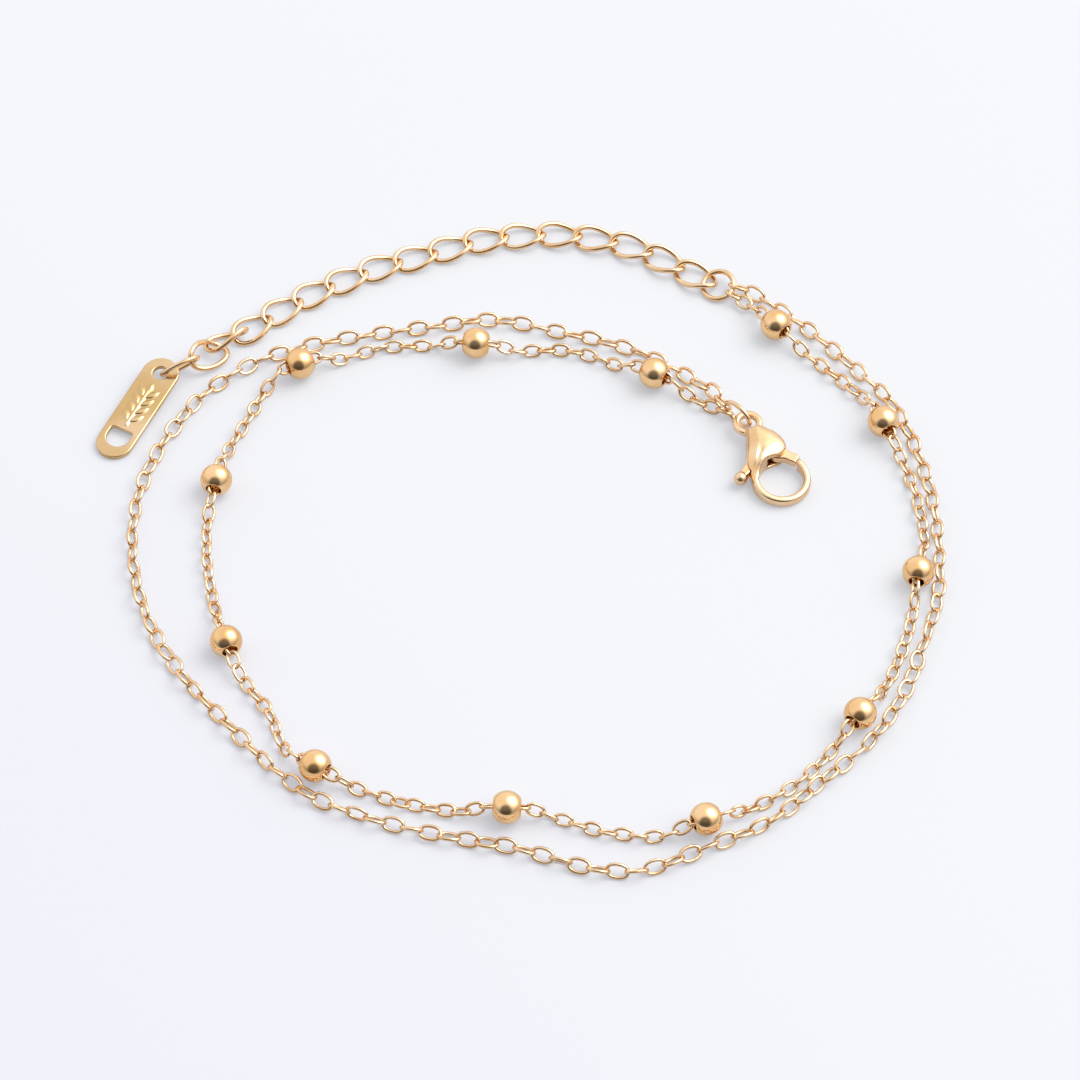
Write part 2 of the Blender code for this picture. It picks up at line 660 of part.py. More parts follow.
def make_clasp_lever(frame, pivot):
    """The lever, its origin on the pivot axis."""
    low = (CLASP_THICKNESS - LEVER_THICKNESS) / 2
    lever = prism("clasp_lever", lever_outline(), low, low + LEVER_THICKNESS, frame, hidden=False)
    lever.location = (*pivot, 0.0)
    bore = prism("lever_bore", circle(PIN_DIAMETER / 2 + TOUCH_GAP, sides=12), 0, CLASP_THICKNESS, lever)
    knob = ball("lever_knob", KNOB_DIAMETER, lever)
    knob.location = (0.467 * LEVER_ARM, -0.885 * LEVER_ARM, CLASP_THICKNESS / 2)
    combine(lever, knob, 'UNION')
    combine(lever, bore, 'DIFFERENCE')


def main():
    for old in list(bpy.data.objects):
        bpy.data.objects.remove(old, do_unlink=True)
    make_outer_strand()
    make_inner_strand()
    make_beads()
    swing = extender_swing()
    make_extender(swing)
    make_stacked_end(swing)
    make_end_tag(swing)
    make_clasp_ring()
    make_clasp()
    bpy.context.view_layer.update()


main()
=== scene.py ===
"""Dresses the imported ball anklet: fine chains, drilled balls, curb links, end tag and lobster clasp.

Lengths in the tables below are millimetres. Every finished mesh is in metres,
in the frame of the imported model, with +Z up from the surface it lies on.
"""

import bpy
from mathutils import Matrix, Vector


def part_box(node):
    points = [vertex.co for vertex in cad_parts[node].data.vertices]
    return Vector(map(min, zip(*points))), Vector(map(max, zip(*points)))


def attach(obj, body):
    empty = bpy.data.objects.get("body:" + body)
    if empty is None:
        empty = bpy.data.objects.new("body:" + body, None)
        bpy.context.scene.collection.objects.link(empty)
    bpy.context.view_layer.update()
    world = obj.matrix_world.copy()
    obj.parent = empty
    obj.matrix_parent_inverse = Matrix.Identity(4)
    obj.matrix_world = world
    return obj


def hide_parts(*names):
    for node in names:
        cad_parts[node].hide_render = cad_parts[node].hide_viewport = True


bl_info = {
    "name": "Ball Anklet",
    "version": (1, 0, 0),
    "blender": (4, 5, 0),
    "location": "3D View > Sidebar > Anklet",
    "description": "Builds the chains, beads, tag and clasp of a double-strand ball anklet",
    "category": "Add Mesh",
}

import math

import bmesh
import bpy
import numpy as np
from bpy.props import FloatProperty, FloatVectorProperty, IntProperty, PointerProperty
from mathutils import Matrix, Vector
from mathutils.geometry import delaunay_2d_cdt

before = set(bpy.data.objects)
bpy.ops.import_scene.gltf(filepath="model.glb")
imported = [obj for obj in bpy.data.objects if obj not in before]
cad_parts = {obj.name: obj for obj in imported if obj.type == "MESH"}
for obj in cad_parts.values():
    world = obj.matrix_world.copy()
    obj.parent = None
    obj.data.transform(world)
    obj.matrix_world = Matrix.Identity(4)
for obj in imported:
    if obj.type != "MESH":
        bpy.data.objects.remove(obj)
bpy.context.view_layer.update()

MM = 0.001

# The outer strand's plan, from the connector ring round to the clasp's ring
OUTER_ROUTE = (
    (21.8, 29.6), (24.2, 27.6), (27.5, 24.7), (31.2, 20.6), (35.2, 15.6), (37.3, 10.4),
    (38.6, 4.4), (39.0, -1.5), (38.6, -7.5), (36.8, -13.4), (34.7, -18.8), (31.4, -23.8),
    (26.9, -28.0), (22.5, -32.0), (16.9, -34.7), (11.2, -37.1), (6.2, -36.8), (0.1, -34.8),
    (-5.8, -33.6), (-11.6, -32.1), (-17.2, -29.8), (-21.9, -26.0), (-25.6, -21.8), (-29.5, -17.1),
    (-32.7, -11.9), (-34.7, -6.4), (-35.5, -0.3), (-34.9, 5.6), (-32.8, 11.3), (-29.6, 16.3),
    (-25.1, 20.1), (-19.6, 22.4), (-13.6, 23.7), (-7.8, 24.7), (-2.1, 25.5), (4.0, 24.0),
    (9.6, 22.3), (14.9, 19.5), (19.9, 15.2),
)

# The inner strand's lead to the first bead, then each bead's centre followed by
# the points that its chain passes on the way to the next
INNER_LEAD = ((21.2, 28.3), (22.3, 27.2))
INNER_ROUTE = (
    ((24.7, 24.1), (26.9, 21.9), (30.1, 18.8), (33.1, 15.5)),
    ((34.4, 12.3), (36.0, 8.7), (37.3, 3.7), (37.7, -1.4)),
    ((36.7, -5.2), (36.3, -8.9), (35.0, -13.6), (33.1, -18.0)),
    ((30.8, -21.0), (28.4, -24.3), (24.9, -28.0), (20.6, -30.8)),
    ((16.8, -32.3), (13.0, -33.6), (8.0, -33.1), (3.3, -31.6)),
    ((-0.7, -31.0), (-4.6, -31.0), (-9.7, -30.1), (-14.4, -28.4)),
    ((-17.8, -26.8), (-20.5, -24.5), (-22.1, -20.4), (-24.8, -16.4)),
    ((-26.3, -13.1), (-27.4, -9.2), (-28.4, -3.8), (-28.6, 1.2)),
    ((-27.9, 5.4), (-27.2, 9.1), (-25.5, 13.0), (-23.5, 17.3)),
    ((-20.7, 19.6), (-17.2, 20.5), (-12.5, 22.1), (-7.7, 22.2)),
    ((-3.9, 21.9), (0.0, 21.6), (5.0, 21.7), (9.5, 19.9)),
    ((13.1, 18.3), (15.6, 16.6), (19.2, 14.1)),
)
ROUTE_STEPS = 12

# Where each strand hangs in its two rings: a bearing round the connector ring,
# and an angle round the standing clasp ring, from its far end
CONNECTOR_BEARINGS = {"outer": -4.7, "inner": -39.6}
CLASP_RING_ANGLES = {"outer": -10.0, "inner": -45.0}

# The plan's points this near a ring are left out, and a chain rises to the rings
# and the beads over these lengths
RING_SKIP = 1.6
CONNECTOR_RISE = 3.0
CLASP_RISE = 4.5
BEAD_RISE = (0.15, 3.0)

# Each link of the fine chains: its facets, how square its loop is, its lean from
# lying flat, and the play in its roll (degrees) and heading (share of its length)
LINK_STEPS, LINK_SIDES = 14, 6
LINK_SQUARENESS = 2.3
LINK_LEAN = 45.0
ROLL_PLAY = 12.0
HEADING_PLAY = 0.04
PLAY_SEEDS = {"outer": 11, "inner": 12}

# The beads' facets, the round of each mouth, and the length of plan that gives
# a bead's heading
BEAD_ROUNDS, BALL_STEPS, LIP_STEPS = 48, 27, 7
BEAD_LIP = 0.1
BEAD_REACH = 1.8

# Wires and sizes of the larger pieces
EXTENDER_WIRE = 0.51
EXTENDER_LINK = (4.71, 3.14)
EXTENDER_TWIST = math.radians(60)
EXTENDER_SQUARENESS = 2.1
EXTENDER_LINKS = 16
CONNECTOR_RING = (3.53, 3.53)
RING_WIRE = 0.45
TAG_RING = (4.25, 2.65)
CLASP_RING = (3.55, 2.75)
CLASP_RING_YAW = math.radians(133.7)
LOOP_STEPS, LOOP_SIDES = 56, 14

# The end tag, in axes whose origin is the middle of its hole
TAG_LENGTH = 12.2
TAG_WIDTH = 3.6
TAG_THICKNESS = 0.5
TAG_HOLE = 1.5
TAG_HOLE_FROM_END = 1.75
TAG_SLOT_WIDTH = 2.3
TAG_SLOT_HEIGHT = 2.05
TAG_SLOT_RIM = 1.25
TAG_SLOT_CORNER = 0.28
TAG_EDGE = 0.09
TAG_GRID = 0.075
TAG_YAW = math.radians(63)

# The sprig on the tag: its stem's half-width, start and end, each at the foot and at
# the level top, then its leaves' places, sizes and flank
STEM_HALF_WIDTH = (0.20, 0.08)
STEM_START = (-6.75, -6.6)
STEM_END = (-1.7, -1.9)
LEAF_ROOTS = (-6.3, -5.3, -4.3, -3.3)
LEAF_LEAN = math.radians(40)
LEAF_START, LEAF_LENGTH, LEAF_HALF_WIDTH = 0.12, 1.55, 0.36
TIP_START, TIP_LENGTH, TIP_HALF_WIDTH = -2.7, 1.3, 0.34
LEAF_FLANK = 0.2

# The clasp, in its own axes: x from the eye to the hook, y to the gate. The body's
# outline and spine are shares of its reach and width, and the arcs are degrees
CLASP_EYE = (21.747, 12.351)
CLASP_YAW = math.radians(-65)
CLASP_REACH = 7.0
CLASP_THICKNESS = 2.3
CLASP_TAIL_THICKNESS = 1.45
CLASP_BODY_WIDTH = 4.6
EYE_DIAMETER = 2.9
EYE_HOLE = 1.5
EYE_THICKNESS = 0.7
HOOK_OPENING = 4.15
HOOK_BAND = 0.72
HOOK_HEIGHT = 1.52
HOOK_SLOPE = 0.115
LEVER_LOW = 0.52
LEVER_THICKNESS = 0.85
LEVER_BAR = 1.0
LEVER_BOSS = 1.8
LEVER_REACH = 3.1
LEVER_ARM = 4.35
KNOB_DIAMETER = 1.3
KNOB_PLACE = (0.467, -0.885)
PIN_DIAMETER = 0.5
PIVOT = (3.4, 0.4)
GATE_CLEARANCE = 0.06
SLOT_CLEARANCE = 0.12
LEVER_SLOT = (
    (2.38, 4.6), (2.38, -4.6), (6.3, -4.6), (6.3, -3.4), (5.4, -2.3), (4.65, -0.9),
    (4.75, -0.5), (5.75, 0.2), (5.75, 4.6))
HOOK_ARC = (132, -155)
GATE_ARC = (5, 75)
BODY_OUTLINE = (
    (0.129, 0.152), (0.214, 0.250), (0.321, 0.380), (0.443, 0.446), (0.564, 0.446), (0.657, 0.370),
    (0.714, 0.217), (0.750, 0.000), (0.786, -0.196), (0.871, -0.370), (0.900, -0.500), (0.829, -0.554),
    (0.686, -0.522), (0.529, -0.446), (0.371, -0.315), (0.243, -0.217), (0.129, -0.152),
)
BODY_SPINE = (
    (0.20, 0.02), (0.35, 0.01), (0.47, -0.02), (0.57, -0.12), (0.66, -0.25), (0.75, -0.39), (0.84, -0.47))

# The body's foot as insets and heights, then the wall's share of the height, at
# the middle and at the tail, and where the top falls towards the tail
BODY_FOOT = ((0.2, 0.0), (0.06, 0.03), (0.0, 0.09))
BODY_WALL, TAIL_WALL = 0.60, 0.97
DOME_END, DOME_RINGS = 84, 12
SPINE_EASINGS = 60
TAIL_HEADING = (0.75, -0.66)
TAIL_FALL = (3.9, 6.1)

# The lever's rings, as shares of its thickness and insets
LEVER_EDGES = ((0.0, 0.12), (0.12, 0.03), (0.25, 0.0), (0.75, 0.0), (0.88, 0.03), (1.0, 0.12))

# The castings' skins: voxel and rounds of smoothing
BODY_SKIN = (0.06, 30)
LEVER_SKIN = (0.05, 5)

# The stage: camera, softbox (metres and watts), and the walls' brightness low down
# and above, with a darker patch round the camera and a glow round the softbox
CAMERA_TARGET = Vector((2.2, -0.5, 0.0)) * MM
CAMERA_DISTANCE = 407.4 * MM
CAMERA_ELEVATION = math.radians(53)
CAMERA_LENS = 146.7
FLOOR_REACH = 1500.0 * MM
SOFTBOX_DIRECTION = Vector((0.564, 0.269, 0.781))
SOFTBOX_DISTANCE, SOFTBOX_SIZE, SOFTBOX_POWER = 1.3, 0.9, 10.5
WALL_BRIGHTNESS = (0.52, 1.18)
SHADE_DIRECTION = Vector((-0.15, -0.85, 0.5))
SHADE_ANGLES, SHADE_BRIGHTNESS = (52, 24), 0.2
GLOW_ANGLES, GLOW_BRIGHTNESS = (46, 14), 1.1
# The floor's painted glow, an emission that stands in for fill light; its reflectance; and where its painted
# shade towards the front left starts and ends
FLOOR_PAINTED_GLOW = 0.385
FLOOR_REFLECTANCE = 0.36
FLOOR_PAINTED_FALLOFF = (-0.01, 0.09)

# The finishes' patterns, as noise scales per metre: patches of 2.2 mm, rubbed
# spots of 0.6 mm and dents of 0.3 mm, and on the tag patches of 7 mm and rolling
# lines 3 mm long and 0.15 mm apart
PATCH_SCALE, RUB_SCALE, DENT_SCALE = 450.0, 1600.0, 3300.0
TAG_PATCH_SCALE = 150.0
ROLLING_SCALE = (350.0, 6500.0, 6500.0)


def linear(hex_colour):
    """Linear red, green and blue of an sRGB hex colour."""
    parts = np.array([int(hex_colour[k:k + 2], 16) for k in (0, 2, 4)]) / 255
    return tuple(np.where(parts <= 0.04045, parts / 12.92, ((parts + 0.055) / 1.055) ** 2.4))


def length(name, description, size, low, high):
    """A length property whose default and limits are given in millimetres."""
    return FloatProperty(
        name=name, description=description, default=size * MM, min=low * MM, max=high * MM,
        precision=5, unit='LENGTH')


def colour(name, description, hex_colour):
    """A colour property whose default is an sRGB hex colour."""
    return FloatVectorProperty(
        name=name, description=description, default=linear(hex_colour),
        min=0.0, max=1.0, size=3, subtype='COLOR')


class AnkletSizes(bpy.types.PropertyGroup):
    """Sizes of the anklet's repeated pieces."""

    outer_link_length: length(
        "Outer link length", "Outside length of a link of the plain strand", 2.29, 1.5, 3.0)
    outer_link_width: length(
        "Outer link width", "Outside width of a link of the plain strand", 1.56, 1.0, 2.2)
    outer_wire: length("Outer wire", "Wire diameter of the plain strand", 0.33, 0.15, 0.4)
    outer_links: IntProperty(
        name="Outer links", description="Links in the plain strand", default=133, min=100, max=170)
    inner_link_length: length(
        "Inner link length", "Outside length of a link of the beaded strand", 1.97, 1.2, 2.6)
    inner_link_width: length(
        "Inner link width", "Outside width of a link of the beaded strand", 1.37, 0.9, 1.9)
    inner_wire: length("Inner wire", "Wire diameter of the beaded strand", 0.31, 0.12, 0.35)
    inner_pitch: length(
        "Inner pitch", "Distance from link to link of the beaded strand", 1.356, 0.9, 2.2)
    bead_diameter: length("Bead diameter", "Diameter of each ball bead", 3.0, 2.4, 3.0)
    bead_hole: length("Bead hole", "Bore through each ball bead", 1.4, 1.2, 1.6)
    relief_height: length("Tag relief", "How far the sprig stands up from the tag's face", 0.11, 0.0, 0.15)


class AnkletColours(bpy.types.PropertyGroup):
    """Colours of the anklet's finishes."""

    polished: colour("Polished gold", "Gold plating on the chains, rings and clasp", "E9C9A3")
    deep: colour("Deep gold", "Gold plating where it is a little thicker or less worn", "E0B787")
    satin: colour("Satin gold", "Gold plating on the rolled face of the tag", "DCBD96")
    satin_shade: colour("Satin shade", "Duller patches of the tag's face", "C8A673")
    bead: colour("Bead gold", "Gold plating on the ball beads", "EFC998")
    bead_deep: colour("Deep bead gold", "Warmer patches of the beads' plating", "E5B67C")
    floor: colour("Floor", "The pale surface under the anklet", "F3F6FF")
    # Painted shade: the floor's colour where its light falls off towards the front left
    floor_painted_falloff: colour("Floor edge", "The floor where its light falls off towards the front left", "EBEAFF")


def smooth_curve(points, steps):
    """Catmull-Rom curve through the points, whose ends are carried straight on.

    Each span is the cubic whose end tangents are half the chord between the
    neighbours on either side.
    """
    chosen = np.asarray(points, dtype=float)
    padded = np.vstack([2 * chosen[0] - chosen[1], chosen, 2 * chosen[-1] - chosen[-2]])
    spans = len(chosen) - 1
    a, b, c, d = (padded[k:k + spans, None] for k in range(4))
    t = np.linspace(0, 1, steps, endpoint=False)[None, :, None]
    curve = 0.5 * (
        2 * b + (c - a) * t + (2 * a - 5 * b + 4 * c - d) * t**2 + (3 * b - a - 3 * c + d) * t**3)
    return np.vstack([curve.reshape(-1, chosen.shape[1]), chosen[-1:]])


def lengths_along(curve):
    """Distance from the start to each point of a curve."""
    return np.concatenate([[0.0], np.cumsum(np.linalg.norm(np.diff(curve, axis=0), axis=1))])


def points_at(curve, distances):
    """The points that far along a curve."""
    along = lengths_along(curve)
    return np.stack([np.interp(distances, along, axis) for axis in curve.T], axis=-1)


def smoothstep(low, high, value):
    """Ease from 0 at low to 1 at high: 3 t squared less 2 t cubed."""
    t = np.clip((value - low) / (high - low), 0, 1)
    return t * t * (3 - 2 * t)


def unit(vectors):
    """Vectors scaled to length 1."""
    return vectors / np.linalg.norm(vectors, axis=-1, keepdims=True)


def grid_faces(rows, columns, wrap_rows=True, copies=1):
    """Quads of equal grids whose columns close on themselves, and rows too if wrapped."""
    row, column = np.meshgrid(np.arange(rows if wrap_rows else rows - 1), np.arange(columns), indexing='ij')
    next_row, next_column = (row + 1) % rows, (column + 1) % columns
    quads = np.stack([
        row * columns + column, row * columns + next_column,
        next_row * columns + next_column, next_row * columns + column], axis=-1).reshape(-1, 4)
    starts = np.arange(copies) * rows * columns
    return (quads[None] + starts[:, None, None]).reshape(-1, 4)


def faced_out(points, faces):
    """The faces, all turned round if the closed shape's signed volume is negative."""
    a, b, c = points[faces[:, 0]], points[faces[:, 1]], points[faces[:, 2]]
    volume = np.einsum('ij,ij->', a, np.cross(b, c))
    if faces.shape[1] == 4:
        volume += np.einsum('ij,ij->', a, np.cross(c, points[faces[:, 3]]))
    return faces if volume > 0 else faces[:, ::-1]


def write_mesh(name, points, faces):
    """A smooth-shaded mesh in metres from points in millimetres and equal faces."""
    points = points.reshape(-1, 3)
    faces = faced_out(points, faces)
    mesh = bpy.data.meshes.new(name)
    mesh.vertices.add(len(points))
    mesh.vertices.foreach_set("co", (points * MM).ravel())
    mesh.loops.add(faces.size)
    mesh.loops.foreach_set("vertex_index", faces.ravel())
    mesh.polygons.add(len(faces))
    mesh.polygons.foreach_set("loop_start", np.arange(0, faces.size, faces.shape[1]))
    mesh.polygons.foreach_set("use_smooth", np.ones(len(faces), dtype=bool))
    mesh.update(calc_edges=True)
    mesh.validate()
    return mesh


def add_piece(name, mesh, material, replaced, body="anklet"):
    """Link a finished piece, ride it on its body and stand it in for its CAD node."""
    piece = bpy.data.objects.new(name, mesh)
    bpy.context.scene.collection.objects.link(piece)
    mesh.materials.clear()
    mesh.materials.append(material)
    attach(piece, body)
    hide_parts(replaced)
    return piece


def corners_of(mesh):
    """A mesh's corner points, one to a row."""
    corners = np.empty(len(mesh.vertices) * 3, dtype=np.float32)
    mesh.vertices.foreach_get("co", corners)
    return corners.reshape(-1, 3)


def node_place(node):
    """A CAD node's middle, and its long, wide and thin axes, in millimetres.

    The axes are the principal directions of its distinct corners, and the
    middle is halfway between the furthest corners along each.
    """
    corners = np.unique(np.round(corners_of(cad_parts[node].data) / MM, 3), axis=0)
    _, _, axes = np.linalg.svd(corners - corners.mean(axis=0), full_matrices=False)
    if np.linalg.det(axes) < 0:
        axes[2] = -axes[2]
    shares = corners @ axes.T
    middle = (shares.min(axis=0) + shares.max(axis=0)) / 2 @ axes
    return middle, axes


def superellipse(count, power):
    """Unit superellipse: cosine and sine, each raised to 2 / power with its sign kept."""
    angle = np.linspace(0, 2 * math.pi, count, endpoint=False)
    return (np.sign(wave) * np.abs(wave) ** (2 / power) for wave in (np.cos(angle), np.sin(angle)))


def oval_loop(size, wire, count, power=2.0, twist=0.0):
    """Centreline of a wire loop along x: a superellipse, its ends turned apart by the twist.

    The turn about x falls evenly from half the twist at one end to minus half at
    the other.
    """
    along, across = superellipse(count, power)
    reach = (size[0] - wire) / 2
    along, across = reach * along, (size[1] - wire) / 2 * across
    turn = -0.5 * twist * along / reach
    return np.stack([along, across * np.cos(turn), across * np.sin(turn)], axis=1)


def wire_surface(centreline, wire, sides):
    """Round wire carried along a closed centreline that never runs along z.

    Each centreline point gets a ring: its point plus the wire's radius times
    cosine of the ring's angle sideways and sine of it upwards.
    """
    tangent = unit(np.roll(centreline, -1, axis=0) - np.roll(centreline, 1, axis=0))
    side = unit(np.cross(tangent, (0, 0, 1)))
    up = np.cross(side, tangent)
    angle = np.linspace(0, 2 * math.pi, sides, endpoint=False)[None, :, None]
    return centreline[:, None] + wire / 2 * (np.cos(angle) * side[:, None] + np.sin(angle) * up[:, None])


def loop_at_node(name, size, wire, material, twist=0.0, power=2.0):
    """A link or ring at its CAD node's middle and axes, lifted if it would dip under the surface."""
    centreline = oval_loop(size, wire, LOOP_STEPS, power, twist)
    surface = wire_surface(centreline, wire, LOOP_SIDES)
    middle, axes = node_place(name)
    points = surface.reshape(-1, 3) @ axes + middle
    points[:, 2] += max(0, -points[:, 2].min())
    mesh = write_mesh(name + "_wire", points, grid_faces(LOOP_STEPS, LOOP_SIDES))
    return add_piece(name + "_wire", mesh, material, name)


def inner_curve():
    """The inner strand's plan, and how far along it each bead sits."""
    chosen, bead_rows = list(INNER_LEAD), []
    for row in INNER_ROUTE:
        bead_rows.append(len(chosen))
        chosen.extend(row)
    curve = smooth_curve(chosen, ROUTE_STEPS)
    along = lengths_along(curve)
    return curve, [along[row * ROUTE_STEPS] for row in bead_rows]


def connector_anchor(bearing):
    """Where a strand's first link hangs on the connector ring's wire."""
    middle, axes = node_place("connector_ring")
    normal = axes[2] * np.sign(axes[2, 2])
    ahead = np.array([math.cos(math.radians(bearing)), math.sin(math.radians(bearing)), 0.0])
    across = unit(np.cross(normal, ahead))
    return middle + (CONNECTOR_RING[0] - EXTENDER_WIRE) / 2 * np.cross(across, normal)


def clasp_anchor(angle):
    """Where a strand's last link hangs on the standing clasp ring's wire."""
    middle, _ = node_place("clasp_ring")
    reach, half = (CLASP_RING[0] - RING_WIRE) / 2, (CLASP_RING[1] - RING_WIRE) / 2
    outward = np.array([math.cos(CLASP_RING_YAW), math.sin(CLASP_RING_YAW), 0.0])
    turn = math.radians(angle)
    return middle + reach * math.cos(turn) * outward + np.array([0, 0, half * math.sin(turn)])


def chain_path(plan, low, start, end, beads=(), bead_radius=0.0):
    """A strand's centreline in space, from one ring's wire to the other's.

    Its height is the lying height, raised with a smooth step to the rings over
    the last few millimetres, and to a bead's middle on both sides of the bead.
    """
    along = lengths_along(plan)
    keep = (along > RING_SKIP) & (along < along[-1] - RING_SKIP)
    height = np.full(len(plan), low)
    near, far = bead_radius + BEAD_RISE[0], bead_radius + BEAD_RISE[1]
    for stop in beads:
        rise = 1 - smoothstep(near, far, np.abs(along - stop))
        height = np.maximum(height, low + (bead_radius - low) * rise)
    height += (start[2] - low) * (1 - smoothstep(0.0, CONNECTOR_RISE, along))
    height += (end[2] - low) * smoothstep(along[-1] - CLASP_RISE, along[-1], along)
    path = np.column_stack([plan, height])[keep]
    return np.vstack([start, path, end])


def chain_mesh(name, path, count, size, wire, ring_wires, seed):
    """Interlinked oval links strung evenly along a path, joined in one mesh.

    Each link's long axis is the chord of the path round its middle. Neighbours
    lean opposite ways, a quarter turn apart, with a little seeded play in heading
    and roll. A link that would dip under the surface is lifted onto it.
    """
    play = np.random.default_rng(seed)
    whole = lengths_along(path)[-1]
    hang = size[0] / 2 - wire
    stops = np.linspace(hang - ring_wires[0] / 2, whole - hang + ring_wires[1] / 2, count)
    pitch = stops[1] - stops[0]
    middle = points_at(path, stops)
    before = points_at(path, np.maximum(stops - pitch / 2, 0))
    after = points_at(path, np.minimum(stops + pitch / 2, whole))
    along = unit(after - before)
    along = unit(along + HEADING_PLAY * play.standard_normal(along.shape))
    side = unit(np.cross((0, 0, 1), along))
    up = np.cross(along, side)
    lean = np.where(np.arange(count) % 2, LINK_LEAN, -LINK_LEAN)
    roll = np.radians(lean + ROLL_PLAY * play.standard_normal(count))[:, None]
    wide = np.cos(roll) * side + np.sin(roll) * up
    thin = np.cross(along, wide)
    centreline = oval_loop(size, wire, LINK_STEPS, LINK_SQUARENESS)
    link = wire_surface(centreline, wire, LINK_SIDES).reshape(-1, 3)
    axes = np.stack([along, wide, thin], axis=1)
    points = link[None] @ axes + middle[:, None]
    points[..., 2] += np.maximum(0, -points[..., 2].min(axis=1))[:, None]
    return write_mesh(name, points, grid_faces(LINK_STEPS, LINK_SIDES, copies=count))


def lying_height(size, wire):
    """Height of a leaning link's middle when the link lies on the surface."""
    return wire / 2 + (size[1] - wire) / 2 * math.sin(math.radians(LINK_LEAN))


class ANKLET_OT_chains(bpy.types.Operator):
    """Build the two fine cable-chain strands, link by link"""
    bl_idname = "anklet.chains"
    bl_label = "Chains"

    def execute(self, context):
        sizes = context.scene.anklet_sizes
        material = polished_gold("gold_plated_cable_chain", roughness=0.10)
        wires = (EXTENDER_WIRE, RING_WIRE)
        size = (sizes.outer_link_length / MM, sizes.outer_link_width / MM)
        wire = sizes.outer_wire / MM
        path = chain_path(
            smooth_curve(OUTER_ROUTE, ROUTE_STEPS), lying_height(size, wire),
            connector_anchor(CONNECTOR_BEARINGS["outer"]), clasp_anchor(CLASP_RING_ANGLES["outer"]))
        count = sizes.outer_links
        mesh = chain_mesh("outer_chain", path, count, size, wire, wires, PLAY_SEEDS["outer"])
        add_piece("outer_chain", mesh, material, "outer_strand")
        size = (sizes.inner_link_length / MM, sizes.inner_link_width / MM)
        wire = sizes.inner_wire / MM
        plan, bead_stops = inner_curve()
        path = chain_path(
            plan, lying_height(size, wire),
            connector_anchor(CONNECTOR_BEARINGS["inner"]), clasp_anchor(CLASP_RING_ANGLES["inner"]),
            bead_stops, sizes.bead_diameter / MM / 2)
        count = round(lengths_along(path)[-1] / (sizes.inner_pitch / MM))
        mesh = chain_mesh("inner_chain", path, count, size, wire, wires, PLAY_SEEDS["inner"])
        add_piece("inner_chain", mesh, material, "inner_strand")
        return {'FINISHED'}


def bead_profile(diameter, hole, lip):
    """Closed profile of a drilled ball, as (radius, height) round its bore.

    The ball's arc runs from one mouth to the other, each mouth is rounded by an
    arc of the lip's radius that touches both ball and bore, and the bore's
    straight wall closes it.
    """
    radius, bore = diameter / 2, hole / 2
    rise = math.sqrt((radius - lip) ** 2 - (bore + lip) ** 2)
    mouth = math.atan2(bore + lip, rise)
    ball_angle = np.linspace(mouth, math.pi - mouth, BALL_STEPS)
    ball = np.column_stack([radius * np.sin(ball_angle), radius * np.cos(ball_angle)])
    lip_angle = np.linspace(mouth, -math.pi / 2, LIP_STEPS)[1:]
    upper = np.column_stack([bore + lip + lip * np.sin(lip_angle), rise + lip * np.cos(lip_angle)])
    return np.vstack([ball, (upper * (1, -1)), np.array([[bore, 0.0]]), upper[::-1]])


class ANKLET_OT_beads(bpy.types.Operator):
    """Build the twelve drilled ball beads"""
    bl_idname = "anklet.beads"
    bl_label = "Ball beads"

    def execute(self, context):
        sizes = context.scene.anklet_sizes
        material = polished_gold("gold_plated_ball_bead", 0.07, light="bead", deep="bead_deep")
        profile = bead_profile(sizes.bead_diameter / MM, sizes.bead_hole / MM, BEAD_LIP)
        angle = np.linspace(0, 2 * math.pi, BEAD_ROUNDS, endpoint=False)[:, None]
        radius, height = profile[:, 0][None], profile[:, 1][None]
        surface = np.stack([
            height + 0 * angle, radius * np.cos(angle), radius * np.sin(angle)], axis=-1).reshape(-1, 3)
        plan, stops = inner_curve()
        for number, stop in enumerate(stops, 1):
            name = f"bead_{number:02d}"
            before, after = points_at(plan, np.array([stop - BEAD_REACH, stop + BEAD_REACH]))
            x, y = unit(after - before)
            axes = np.array([(x, y, 0), (-y, x, 0), (0, 0, 1)])
            low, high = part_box(name)
            middle = np.array((low + high) / 2) / MM
            faces = grid_faces(BEAD_ROUNDS, len(profile))
            mesh = write_mesh(name + "_ball", surface @ axes + middle, faces)
            add_piece(name + "_ball", mesh, material, name)
        return {'FINISHED'}


class ANKLET_OT_extender(bpy.types.Operator):
    """Build the connector ring and the sixteen twisted curb links"""
    bl_idname = "anklet.extender"
    bl_label = "Extender"

    def execute(self, context):
        material = polished_gold("gold_plated_curb_link", roughness=0.09)
        loop_at_node("connector_ring", CONNECTOR_RING, EXTENDER_WIRE, material)
        for number in range(1, EXTENDER_LINKS + 1):
            name = f"extender_link_{number:02d}"
            loop_at_node(
                name, EXTENDER_LINK, EXTENDER_WIRE, material,
                EXTENDER_TWIST, EXTENDER_SQUARENESS)
        return {'FINISHED'}


def arc(centre, radius, start, end, count):
    """Points on a circle from one angle to another, in degrees."""
    angle = np.radians(np.linspace(start, end, count))
    return np.column_stack([centre[0] + radius * np.cos(angle), centre[1] + radius * np.sin(angle)])


def tag_loop(grow):
    """The tag's oblong outline with round ends, grown outwards."""
    radius = TAG_WIDTH / 2
    upper = TAG_HOLE_FROM_END - radius
    lower = TAG_HOLE_FROM_END - TAG_LENGTH + radius
    return np.vstack([
        arc((upper, 0), radius + grow, -90, 90, 33), arc((lower, 0), radius + grow, 90, 270, 33)])


def hole_loop(grow):
    """The tag's round hole, grown outwards."""
    return arc((0, 0), TAG_HOLE / 2 + grow, 0, 350, 36)


